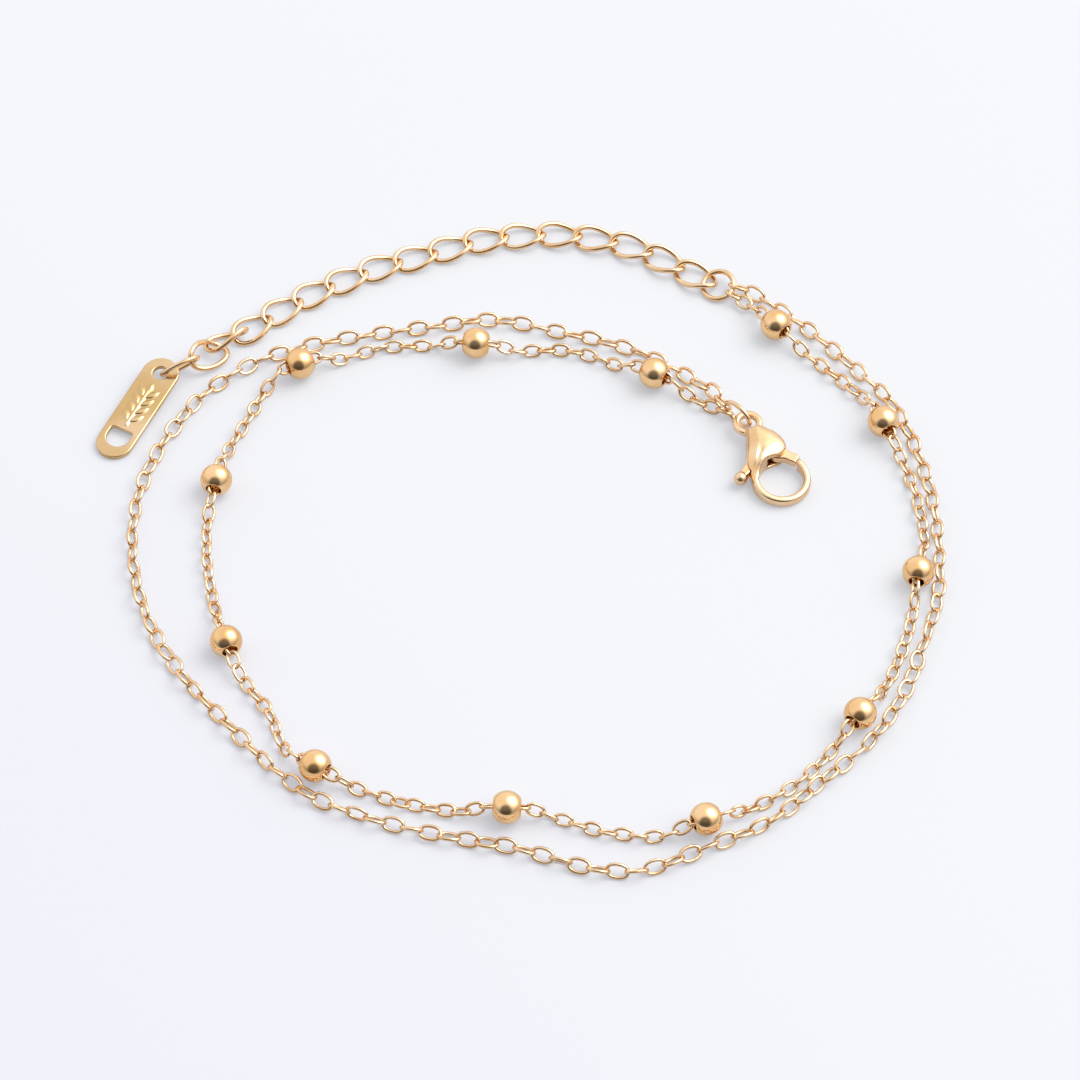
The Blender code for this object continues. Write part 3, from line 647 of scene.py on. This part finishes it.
def slot_loop(grow):
    """The tag's D-shaped slot with small corners, grown outwards."""
    radius = TAG_SLOT_WIDTH / 2
    end = TAG_HOLE_FROM_END - TAG_LENGTH + TAG_SLOT_RIM
    straight, corner = end + TAG_SLOT_HEIGHT, TAG_SLOT_CORNER
    return np.vstack([
        arc((straight - corner, -radius + corner), corner + grow, -90, 0, 6),
        arc((straight - corner, radius - corner), corner + grow, 0, 90, 6),
        arc((end + radius, 0), radius + grow, 90, 270, 29)])


def inside_loop(points, loop):
    """Which points lie inside a closed loop: its winding angle about them isn't zero."""
    spokes = loop[None] - points[:, None]
    following = np.roll(spokes, -1, axis=1)
    turn = np.arctan2(
        spokes[..., 0] * following[..., 1] - spokes[..., 1] * following[..., 0],
        np.sum(spokes * following, axis=2))
    return np.abs(turn.sum(axis=1)) > math.pi


def inside_tag(points, loops):
    """Which points lie inside the tag's outline, and in neither its hole nor its slot."""
    outline, hole, slot = loops
    return inside_loop(points, outline) & ~inside_loop(points, hole) & ~inside_loop(points, slot)


def leaf_height(along, aside, whole, half_width):
    """A leaf's height: its rim is half_width times 4 s (1 - s), for s the share of its length."""
    share = np.clip(along / whole, 0, 1)
    return smoothstep(0.0, LEAF_FLANK, half_width * 4 * share * (1 - share) - np.abs(aside))


def sprig_height(points):
    """Raised sprig between hole and slot: a stem, and leaves that lean out from it in pairs.

    The height eases up over a short flank and is level on top.
    """
    x, y = points[:, 0], points[:, 1]
    height = smoothstep(*STEM_HALF_WIDTH, np.abs(y)) * smoothstep(*STEM_START, x) * smoothstep(*STEM_END, x)
    for root in LEAF_ROOTS:
        for lean in (LEAF_LEAN, -LEAF_LEAN):
            along = (x - root) * math.cos(lean) + y * math.sin(lean) - LEAF_START
            aside = y * math.cos(lean) - (x - root) * math.sin(lean)
            height = np.maximum(height, leaf_height(along, aside, LEAF_LENGTH, LEAF_HALF_WIDTH))
    return np.maximum(height, leaf_height(x - TIP_START, y, TIP_LENGTH, TIP_HALF_WIDTH))


def tag_face(loops, height):
    """Triangles that fill the flat face between the loops, on a fine grid of points.

    The grid's points are raised by the sprig's height on the upper face.
    """
    rim = np.vstack(loops)
    x, y = np.meshgrid(
        np.arange(rim[:, 0].min(), rim[:, 0].max(), TAG_GRID),
        np.arange(-TAG_WIDTH / 2, TAG_WIDTH / 2, TAG_GRID))
    inner = np.column_stack([x.ravel(), y.ravel()])
    apart = np.linalg.norm(inner[:, None] - rim[None], axis=2).min(axis=1) > TAG_GRID * 0.7
    plan = np.vstack([rim, inner[apart & inside_tag(inner, loops)]])
    edges, start = [], 0
    for loop in loops:
        edges += [(start + k, start + (k + 1) % len(loop)) for k in range(len(loop))]
        start += len(loop)
    points, _, faces, *_ = delaunay_2d_cdt([Vector(p) for p in plan], edges, [], 0, 1e-6)
    points, faces = np.array(points), np.array(faces)
    faces = faces[inside_tag(points[faces].mean(axis=1), loops)]
    return np.column_stack([points, height(points)]), faces


def tag_points(relief):
    """The whole tag in its own axes: two faces, joined round each loop by a rounded wall."""
    makers = (tag_loop, hole_loop, slot_loop)
    signs = (-1, 1, 1)
    loops = [maker(sign * TAG_EDGE) for maker, sign in zip(makers, signs)]
    top, top_faces = tag_face(loops, lambda plan: TAG_THICKNESS + relief * sprig_height(plan))
    bottom, bottom_faces = tag_face(loops, lambda plan: 0 * plan[:, 0])
    points, faces = [top, bottom], [top_faces, bottom_faces[:, ::-1] + len(top)]
    start = len(top) + len(bottom)
    bend = np.radians(np.linspace(0, 90, 4))
    inward = TAG_EDGE * (1 - np.sin(bend))
    drop = TAG_EDGE * (1 - np.cos(bend))
    rings = list(zip(inward, TAG_THICKNESS - drop)) + list(zip(inward[::-1], drop[::-1]))
    for maker, sign in zip(makers, signs):
        wall = np.stack([
            np.column_stack([maker(sign * back), np.full(len(maker(0)), height)]) for back, height in rings])
        quads = grid_faces(wall.shape[0], wall.shape[1], wrap_rows=False)
        if sign > 0:
            quads = quads[:, ::-1]
        triangles = np.vstack([quads[:, [0, 1, 2]], quads[:, [0, 2, 3]]])[:, ::-1]
        points.append(wall.reshape(-1, 3))
        faces.append(triangles + start)
        start += wall.shape[0] * wall.shape[1]
    return np.vstack(points), np.vstack(faces)


class ANKLET_OT_tag(bpy.types.Operator):
    """Build the end tag with its raised sprig, and its jump ring"""
    bl_idname = "anklet.tag"
    bl_label = "End tag"

    def execute(self, context):
        ring_gold = polished_gold("gold_plated_jump_ring", roughness=0.09)
        loop_at_node("tag_ring", TAG_RING, RING_WIRE, ring_gold)
        points, faces = tag_points(context.scene.anklet_sizes.relief_height / MM)
        middle, axes = node_place("end_tag")
        ring, _ = node_place("tag_ring")
        along = axes[0] * np.sign((ring - middle) @ axes[0])
        thin = axes[2] * np.sign(axes[2, 2])
        axes = np.stack([along, np.cross(thin, along), thin])
        centre = np.array([TAG_HOLE_FROM_END - TAG_LENGTH / 2, 0, TAG_THICKNESS / 2])
        mesh = write_mesh("end_tag_plate", (points - centre) @ axes + middle, faces)
        close_up(mesh, 0.002 * MM)
        add_piece("end_tag_plate", mesh, satin_gold(), "end_tag")
        return {'FINISHED'}


def close_up(mesh, reach=0.0):
    """Join a closed mesh's corners within reach of each other, and turn its faces outwards."""
    shape = bmesh.new()
    shape.from_mesh(mesh)
    if reach:
        bmesh.ops.remove_doubles(shape, verts=shape.verts, dist=reach)
    bmesh.ops.recalc_face_normals(shape, faces=shape.faces)
    shape.to_mesh(mesh)
    shape.free()


def inset(outline, amount):
    """The outline moved inwards, by 0.55 of the radius of the circle that fits there at most."""
    points = np.asarray(outline)
    tangent = unit(np.roll(points, -1, axis=0) - np.roll(points, 1, axis=0))
    following = np.roll(points, -1, axis=0)
    area = np.sum(points[:, 0] * following[:, 1] - points[:, 1] * following[:, 0])
    inward = np.stack([-tangent[:, 1], tangent[:, 0]], axis=1) * np.sign(area)
    apart = points[None] - points[:, None]
    ahead = np.einsum('ijk,ik->ij', apart, inward)
    spread = np.sum(apart**2, axis=2)
    circles = np.where(ahead > 1e-6, spread / (2 * np.maximum(ahead, 1e-6)), np.inf).min(axis=1)
    return points + inward * np.minimum(amount, 0.55 * circles)[:, None]


def solid(name, levels):
    """A closed object from rings of points, one above the other, capped at both ends."""
    levels = np.asarray(levels, dtype=float)
    rows, columns = levels.shape[:2]
    quads = [tuple(quad) for quad in grid_faces(rows, columns, wrap_rows=False)]
    caps = [tuple(range(columns)), tuple(range((rows - 1) * columns, rows * columns))[::-1]]
    mesh = bpy.data.meshes.new(name)
    mesh.from_pydata(levels.reshape(-1, 3).tolist(), [], quads + caps)
    mesh.validate()
    close_up(mesh)
    tool = bpy.data.objects.new(name, mesh)
    bpy.context.scene.collection.objects.link(tool)
    return tool


def flat_levels(outline, low, high):
    """A plan outline at two heights."""
    return [np.column_stack([outline, np.full(len(outline), z)]) for z in (low, high)]


def disc(name, centre, diameter, low, high, count):
    """A round closed object between two heights."""
    return solid(name, flat_levels(arc(centre, diameter / 2, 0, 360 - 360 / count, count), low, high))


def band(name, section, centre, start, end, count):
    """A closed section in the radius-height plane, carried round a centre in the plan."""
    radius, height = section[:, 0], section[:, 1]
    return solid(name, [
        np.column_stack([
            centre[0] + radius * math.cos(angle), centre[1] + radius * math.sin(angle), height])
        for angle in np.radians(np.linspace(start, end, count))])


def slope_down(mesh, start):
    """Lower a mesh's heights in proportion to how far along x they lie past the start."""
    corners = corners_of(mesh)
    corners[:, 2] *= 1 - HOOK_SLOPE / HOOK_HEIGHT * (corners[:, 0] - start)
    mesh.vertices.foreach_set("co", corners.ravel())


def rounded_section(inner, outer, low, high, power):
    """A superellipse between two radii and two heights."""
    across, rise = superellipse(28, power)
    return np.column_stack([
        (inner + outer) / 2 + (outer - inner) / 2 * across, (low + high) / 2 + (high - low) / 2 * rise])


def cast(name, parts, voxel, rounds):
    """Join and cut solids in turn, remesh them to one skin, soften it and put it in place.

    It is worked in millimetres, because a remesh can't go as fine in metres.
    """
    base = parts[0][0]
    for tool, operation in parts[1:]:
        modifier = base.modifiers.new(tool.name, 'BOOLEAN')
        modifier.object, modifier.operation, modifier.solver = tool, operation, 'EXACT'
    remesh = base.modifiers.new("skin", 'REMESH')
    remesh.mode, remesh.voxel_size, remesh.use_smooth_shade = 'VOXEL', voxel, True
    soften = base.modifiers.new("soften", 'SMOOTH')
    soften.factor, soften.iterations = 0.5, rounds
    bpy.context.view_layer.update()
    depsgraph = bpy.context.evaluated_depsgraph_get()
    mesh = bpy.data.meshes.new_from_object(base.evaluated_get(depsgraph))
    for tool, _ in parts:
        bpy.data.objects.remove(tool, do_unlink=True)
    mesh.name = name
    place = Matrix.Translation((*(np.array(CLASP_EYE) * MM), 0)) @ Matrix.Rotation(CLASP_YAW, 4, 'Z')
    mesh.transform(place @ Matrix.Scale(MM, 4))
    mesh.polygons.foreach_set("use_smooth", np.ones(len(mesh.polygons), dtype=bool))
    return mesh


def lever_outline():
    """The lever's plan round its pivot, from the knob's arm over the boss to the gate bar.

    Each station is a point of its middle curve and the width there.
    """
    gate = LEVER_REACH - LEVER_BAR / 2
    stations = (
        (0.45 * LEVER_ARM, -0.86 * LEVER_ARM, LEVER_BAR * 0.8),
        (0.34 * LEVER_ARM, -0.66 * LEVER_ARM, LEVER_BAR),
        (0.16 * LEVER_ARM, -0.34 * LEVER_ARM, LEVER_BAR * 1.1),
        (0.00, 0.00, LEVER_BOSS),
        (0.35 * gate, 0.27 * gate, LEVER_BOSS),
        (0.60 * gate, 0.46 * gate, LEVER_BAR * 1.1),
        (0.80 * gate, 0.61 * gate, LEVER_BAR * 1.08),
        (0.95 * gate, 0.72 * gate, LEVER_BAR),
    )
    middle = smooth_curve(stations, 6)
    tangent = unit(np.gradient(middle[:, :2], axis=0))
    aside = np.stack([-tangent[:, 1], tangent[:, 0]], axis=1) * middle[:, 2:] / 2
    return np.vstack([middle[:, :2] - aside, (middle[:, :2] + aside)[::-1]])


def gate_sweep():
    """Plan of the space that the gate's end swings through, with clearance."""
    outline = lever_outline()
    reach = np.linalg.norm(outline[outline[:, 1] > 0], axis=1).max() + GATE_CLEARANCE
    start, end = GATE_ARC
    return np.vstack([arc(PIVOT, reach, start, end, 16), arc(PIVOT, 0.6 * reach, end, start, 16)])


def top_and_wall(plan):
    """The body's height over each point of its plan, and the share of it that is straight wall.

    The top falls with a smooth step towards the tail, where the wall takes up
    nearly all the height.
    """
    fall = smoothstep(*TAIL_FALL, plan @ TAIL_HEADING)
    top = CLASP_THICKNESS + (CLASP_TAIL_THICKNESS - CLASP_THICKNESS) * fall
    return top, BODY_WALL + (TAIL_WALL - BODY_WALL) * fall


def pillow_levels():
    """The body's rings: a straight wall, then a dome that closes in on the spine.

    Each ring is the outline moved a share of the way to its nearest spine point,
    which is averaged with its neighbours' so that the dome has no crease. The
    share grows as one less the cosine of the dome's angle and the height as its
    sine.
    """
    size = (CLASP_REACH, CLASP_BODY_WIDTH)
    plan = smooth_curve(np.array(BODY_OUTLINE) * size, 8)[:-1]
    spine = smooth_curve(np.array(BODY_SPINE) * size, 12)
    nearest = spine[np.linalg.norm(plan[:, None] - spine[None], axis=2).argmin(axis=1)]
    for _ in range(SPINE_EASINGS):
        nearest = (np.roll(nearest, 1, axis=0) + nearest + np.roll(nearest, -1, axis=0)) / 3
    levels = []
    for back, share in BODY_FOOT:
        ring = inset(plan, back)
        top, _ = top_and_wall(ring)
        levels.append(np.column_stack([ring, share * top]))
    for angle in np.radians(np.linspace(0, DOME_END, DOME_RINGS)):
        ring = plan + (nearest - plan) * (1 - math.cos(angle))
        top, wall = top_and_wall(ring)
        levels.append(np.column_stack([ring, (wall + (1 - wall) * math.sin(angle)) * top]))
    return levels


def clasp_body_parts():
    """The casting's solids: body, hook and eye joined, then opening, slot and gate space cut."""
    body = solid("clasp_casting", pillow_levels())
    section = rounded_section(HOOK_OPENING / 2, HOOK_OPENING / 2 + HOOK_BAND, 0, HOOK_HEIGHT, 3.5)
    hook = band("hook_band", section, (CLASP_REACH, 0), *HOOK_ARC, 60)
    slope_down(hook.data, CLASP_REACH - HOOK_OPENING / 2)
    mid = CLASP_THICKNESS / 2
    section = rounded_section(
        EYE_HOLE / 2, EYE_DIAMETER / 2, mid - EYE_THICKNESS / 2, mid + EYE_THICKNESS / 2, 2.8)
    eye = band("eye_washer", section, (0, 0), 0, 360, 49)
    below, above = -1, CLASP_THICKNESS + 1
    opening = disc("hook_opening", (CLASP_REACH, 0), HOOK_OPENING, below, above, 72)
    slot_low, slot_high = LEVER_LOW - SLOT_CLEARANCE, LEVER_LOW + LEVER_THICKNESS + SLOT_CLEARANCE
    slot = solid("lever_slot", flat_levels(np.array(LEVER_SLOT), slot_low, slot_high))
    sweep = solid("gate_space", flat_levels(gate_sweep(), below, above))
    pin = disc("lever_pin", PIVOT, PIN_DIAMETER, slot_low / 2, slot_high + slot_low / 2, 24)
    return [
        (body, None), (hook, 'UNION'), (eye, 'UNION'), (opening, 'DIFFERENCE'), (sweep, 'DIFFERENCE'),
        (slot, 'DIFFERENCE'), (pin, 'UNION')]


def clasp_lever_parts():
    """The lever's solids: arm with softened edges, boss bore cut, knob joined."""
    outline = lever_outline()
    levels = []
    for share, edge in LEVER_EDGES:
        height = np.full(len(outline), LEVER_LOW + share * LEVER_THICKNESS)
        levels.append(np.column_stack([inset(outline, edge) + PIVOT, height]))
    arm = solid("lever_arm", levels)
    centre = np.array([
        PIVOT[0] + KNOB_PLACE[0] * LEVER_ARM, PIVOT[1] + KNOB_PLACE[1] * LEVER_ARM,
        LEVER_LOW + LEVER_THICKNESS / 2])
    rise = np.radians(np.linspace(-84, 84, 19))[:, None]
    turn = np.linspace(0, 2 * math.pi, 28, endpoint=False)[None]
    ball = centre + KNOB_DIAMETER / 2 * np.stack([
        np.cos(rise) * np.cos(turn), np.cos(rise) * np.sin(turn), np.sin(rise) + 0 * turn], axis=-1)
    knob = solid("lever_knob", ball)
    bore = disc("lever_bore", PIVOT, PIN_DIAMETER + SLOT_CLEARANCE, 0, CLASP_THICKNESS, 24)
    return [(arm, None), (knob, 'UNION'), (bore, 'DIFFERENCE')]


class ANKLET_OT_clasp(bpy.types.Operator):
    """Build the clasp's ring, its cast body and its sprung lever"""
    bl_idname = "anklet.clasp"
    bl_label = "Lobster clasp"

    def execute(self, context):
        ring_gold = polished_gold("gold_plated_clasp_ring", roughness=0.09)
        loop_at_node("clasp_ring", CLASP_RING, RING_WIRE, ring_gold)
        gold = polished_gold("gold_plated_casting", roughness=0.15)
        body = cast("clasp_casting", clasp_body_parts(), *BODY_SKIN)
        add_piece("clasp_casting", body, gold, "clasp_body")
        lever = cast("clasp_gate", clasp_lever_parts(), *LEVER_SKIN)
        add_piece("clasp_gate", lever, gold, "clasp_lever", body="lever")
        return {'FINISHED'}


def add_node(tree, kind, inputs=None, **settings):
    """Add a node with its settings; each input is a value, or the output that feeds it."""
    new = tree.nodes.new(kind)
    for name, value in settings.items():
        setattr(new, name, value)
    for socket, value in (inputs or {}).items():
        if isinstance(value, bpy.types.NodeSocket):
            tree.links.new(value, new.inputs[socket])
        else:
            new.inputs[socket].default_value = value
    return new


def noise(tree, place, scale, detail):
    """Smooth noise from 0 to 1 over a place."""
    return add_node(
        tree, 'ShaderNodeTexNoise', {"Vector": place, "Scale": scale, "Detail": detail}).outputs["Fac"]


def remap(tree, value, low, high, to_low=0.0, to_high=1.0, ease=False):
    """A value's range carried to another, evenly or with a smooth step."""
    return add_node(tree, 'ShaderNodeMapRange', {
        "Value": value, "From Min": low, "From Max": high, "To Min": to_low, "To Max": to_high},
        interpolation_type='SMOOTHSTEP' if ease else 'LINEAR').outputs[0]


def blend(tree, share, first, second):
    """One colour at a share of 0, the other at 1."""
    return add_node(
        tree, 'ShaderNodeMix', {0: share, 6: (*first, 1.0), 7: (*second, 1.0)}, data_type='RGBA').outputs[2]


def dot(tree, vector, direction):
    """The dot product of a vector with a fixed direction."""
    return add_node(
        tree, 'ShaderNodeVectorMath', {0: vector, 1: direction}, operation='DOT_PRODUCT').outputs["Value"]


def metal(tree, colour, roughness, relief, depth):
    """A metal surface whose fine relief is read as a bump of the given depth."""
    bump = add_node(tree, 'ShaderNodeBump', {"Height": relief, "Strength": 0.12, "Distance": depth})
    shader = add_node(tree, 'ShaderNodeBsdfPrincipled', {
        "Base Color": colour, "Metallic": 1.0, "Roughness": roughness, "Normal": bump.outputs[0]})
    add_node(tree, 'ShaderNodeOutputMaterial', {"Surface": shader.outputs[0]})


def new_material(name):
    """An empty node material and its tree."""
    material = bpy.data.materials.new(name)
    material.use_nodes = True
    material.node_tree.nodes.clear()
    return material, material.node_tree


def polished_gold(name, roughness, light="polished", deep="deep"):
    """Gold plating on drawn or cast steel, tumble polished.

    It gives the eye crisp reflections that swim a little: the tumbling leaves
    shallow dents, the plating's warmth drifts, and rubbed spots are duller.
    """
    material, tree = new_material(name)
    place = add_node(tree, 'ShaderNodeTexCoord').outputs["Object"]
    patches = remap(tree, noise(tree, place, PATCH_SCALE, 2.0), 0.35, 0.65)
    rubbed = remap(
        tree, noise(tree, place, RUB_SCALE, 3.0), 0.3, 0.7, roughness * 0.75, roughness * 1.5)
    dents = noise(tree, place, DENT_SCALE, 1.0)
    colours = bpy.context.scene.anklet_colours
    tint = blend(tree, patches, getattr(colours, deep), getattr(colours, light))
    metal(tree, tint, rubbed, dents, 0.02 * MM)
    return material


def satin_gold():
    """Gold plating on rolled steel strip, blanked and left satin.

    It gives the eye a soft glow with duller patches some millimetres across, and
    faint lines of the rolling along the tag, coarser than real ones so that they
    show.
    """
    material, tree = new_material("gold_plated_satin_strip")
    place = add_node(tree, 'ShaderNodeTexCoord').outputs["Object"]
    along_tag = add_node(tree, 'ShaderNodeMapping', {
        "Vector": place, "Rotation": (0, 0, -TAG_YAW), "Scale": ROLLING_SCALE}).outputs[0]
    lines = noise(tree, along_tag, 1.0, 2.0)
    patches = remap(tree, noise(tree, place, TAG_PATCH_SCALE, 2.0), 0.38, 0.62)
    roughness = remap(tree, lines, 0.3, 0.7, 0.16, 0.27)
    colours = bpy.context.scene.anklet_colours
    metal(tree, blend(tree, patches, colours.satin_shade, colours.satin), roughness, lines, 0.01 * MM)
    return material


def pale_floor():
    """Matt white floor with a painted glow, an emission that stands in for fill light.

    It gives the eye a pale even ground with only faint shadows, and painted shade
    where its light falls off and turns slightly violet towards the front left.
    """
    material, tree = new_material("white_floor_painted_glow")
    place = add_node(tree, 'ShaderNodeTexCoord').outputs["Object"]
    # Painted shade: the floor darkens and turns violet towards the front left
    painted_falloff = remap(tree, dot(tree, place, (-0.7, -0.7, 0.0)), *FLOOR_PAINTED_FALLOFF, ease=True)
    colours = bpy.context.scene.anklet_colours
    tint = blend(tree, painted_falloff, colours.floor, colours.floor_painted_falloff)
    diffuse = add_node(tree, 'ShaderNodeBsdfDiffuse', {"Color": (*[FLOOR_REFLECTANCE] * 3, 1.0)})
    # Painted glow: emission that stands in for fill light and washes out the shadows
    glow = add_node(tree, 'ShaderNodeEmission', {"Color": tint, "Strength": FLOOR_PAINTED_GLOW})
    both = add_node(tree, 'ShaderNodeAddShader', {0: diffuse.outputs[0], 1: glow.outputs[0]})
    add_node(tree, 'ShaderNodeOutputMaterial', {"Surface": both.outputs[0]})
    return material


def patch(tree, direction, middle, angles, low, high):
    """A value that eases from low to high between two angles, in degrees, from a middle direction."""
    outer, inner = (math.cos(math.radians(angle)) for angle in angles)
    return remap(tree, dot(tree, direction, middle.normalized()), outer, inner, low, high, ease=True)


def studio_world():
    """White studio walls and ceiling.

    They are bright above and behind, brightest round the softbox, and darker
    where the camera stands.
    """
    world = bpy.data.worlds.new("white_studio")
    world.use_nodes = True
    tree = world.node_tree
    tree.nodes.clear()
    direction = add_node(tree, 'ShaderNodeTexCoord').outputs["Generated"]
    walls = remap(tree, dot(tree, direction, (0.0, 0.5, 1.0)), -0.2, 0.5, *WALL_BRIGHTNESS, ease=True)
    shade = patch(tree, direction, SHADE_DIRECTION, SHADE_ANGLES, 1.0, SHADE_BRIGHTNESS)
    glow = patch(tree, direction, SOFTBOX_DIRECTION, GLOW_ANGLES, 0.0, GLOW_BRIGHTNESS)
    shaded = add_node(tree, 'ShaderNodeMath', {0: walls, 1: shade}, operation='MULTIPLY')
    total = add_node(tree, 'ShaderNodeMath', {0: shaded.outputs[0], 1: glow}, operation='ADD')
    background = add_node(tree, 'ShaderNodeBackground', {
        "Color": (*linear("FBFCFF"), 1.0), "Strength": total.outputs[0]})
    add_node(tree, 'ShaderNodeOutputWorld', {"Surface": background.outputs[0]})
    return world


class ANKLET_OT_stage(bpy.types.Operator):
    """Lay the pale floor, light it softly and set up the camera"""
    bl_idname = "anklet.stage"
    bl_label = "Stage"

    def execute(self, context):
        scene = context.scene
        corners = [(x * FLOOR_REACH, y * FLOOR_REACH, 0) for x, y in ((-1, -1), (1, -1), (1, 1), (-1, 1))]
        mesh = bpy.data.meshes.new("floor")
        mesh.from_pydata(corners, [], [(0, 1, 2, 3)])
        mesh.materials.append(pale_floor())
        floor = bpy.data.objects.new("floor", mesh)
        scene.collection.objects.link(floor)

        lamp = bpy.data.lights.new("softbox", 'AREA')
        lamp.shape, lamp.size, lamp.energy = 'SQUARE', SOFTBOX_SIZE, SOFTBOX_POWER
        softbox = bpy.data.objects.new("softbox", lamp)
        softbox.location = SOFTBOX_DIRECTION.normalized() * SOFTBOX_DISTANCE
        softbox.rotation_euler = SOFTBOX_DIRECTION.to_track_quat('Z', 'Y').to_euler()
        scene.collection.objects.link(softbox)
        scene.world = studio_world()

        lens = bpy.data.cameras.new("camera")
        lens.lens, lens.sensor_width, lens.clip_start = CAMERA_LENS, 36.0, 0.01
        camera = bpy.data.objects.new("camera", lens)
        away = Vector((0, -math.cos(CAMERA_ELEVATION), math.sin(CAMERA_ELEVATION)))
        camera.location = CAMERA_TARGET + away * CAMERA_DISTANCE
        camera.rotation_euler = away.to_track_quat('Z', 'Y').to_euler()
        scene.collection.objects.link(camera)
        scene.camera = camera
        scene.view_settings.view_transform = 'Standard'
        return {'FINISHED'}


class ANKLET_PT_panel(bpy.types.Panel):
    """Sidebar panel with the anklet's sizes, colours and pieces"""
    bl_idname = "ANKLET_PT_panel"
    bl_label = "Anklet"
    bl_space_type = 'VIEW_3D'
    bl_region_type = 'UI'
    bl_category = "Anklet"

    def draw(self, context):
        layout = self.layout
        for operator in OPERATORS:
            layout.operator(operator.bl_idname)
        for group in (context.scene.anklet_sizes, context.scene.anklet_colours):
            box = layout.box()
            for name in group.__annotations__:
                box.prop(group, name)


OPERATORS = (
    ANKLET_OT_chains, ANKLET_OT_beads, ANKLET_OT_extender, ANKLET_OT_tag, ANKLET_OT_clasp, ANKLET_OT_stage)
CLASSES = (AnkletSizes, AnkletColours, *OPERATORS, ANKLET_PT_panel)


def register():
    for cls in CLASSES:
        bpy.utils.register_class(cls)
    bpy.types.Scene.anklet_sizes = PointerProperty(type=AnkletSizes)
    bpy.types.Scene.anklet_colours = PointerProperty(type=AnkletColours)


def unregister():
    del bpy.types.Scene.anklet_colours
    del bpy.types.Scene.anklet_sizes
    for cls in reversed(CLASSES):
        bpy.utils.unregister_class(cls)


def main():
    """Build every piece in order."""
    register()
    bpy.ops.anklet.chains()
    bpy.ops.anklet.beads()
    bpy.ops.anklet.extender()
    bpy.ops.anklet.tag()
    bpy.ops.anklet.clasp()
    bpy.ops.anklet.stage()


if __name__ == "__main__":
    main()
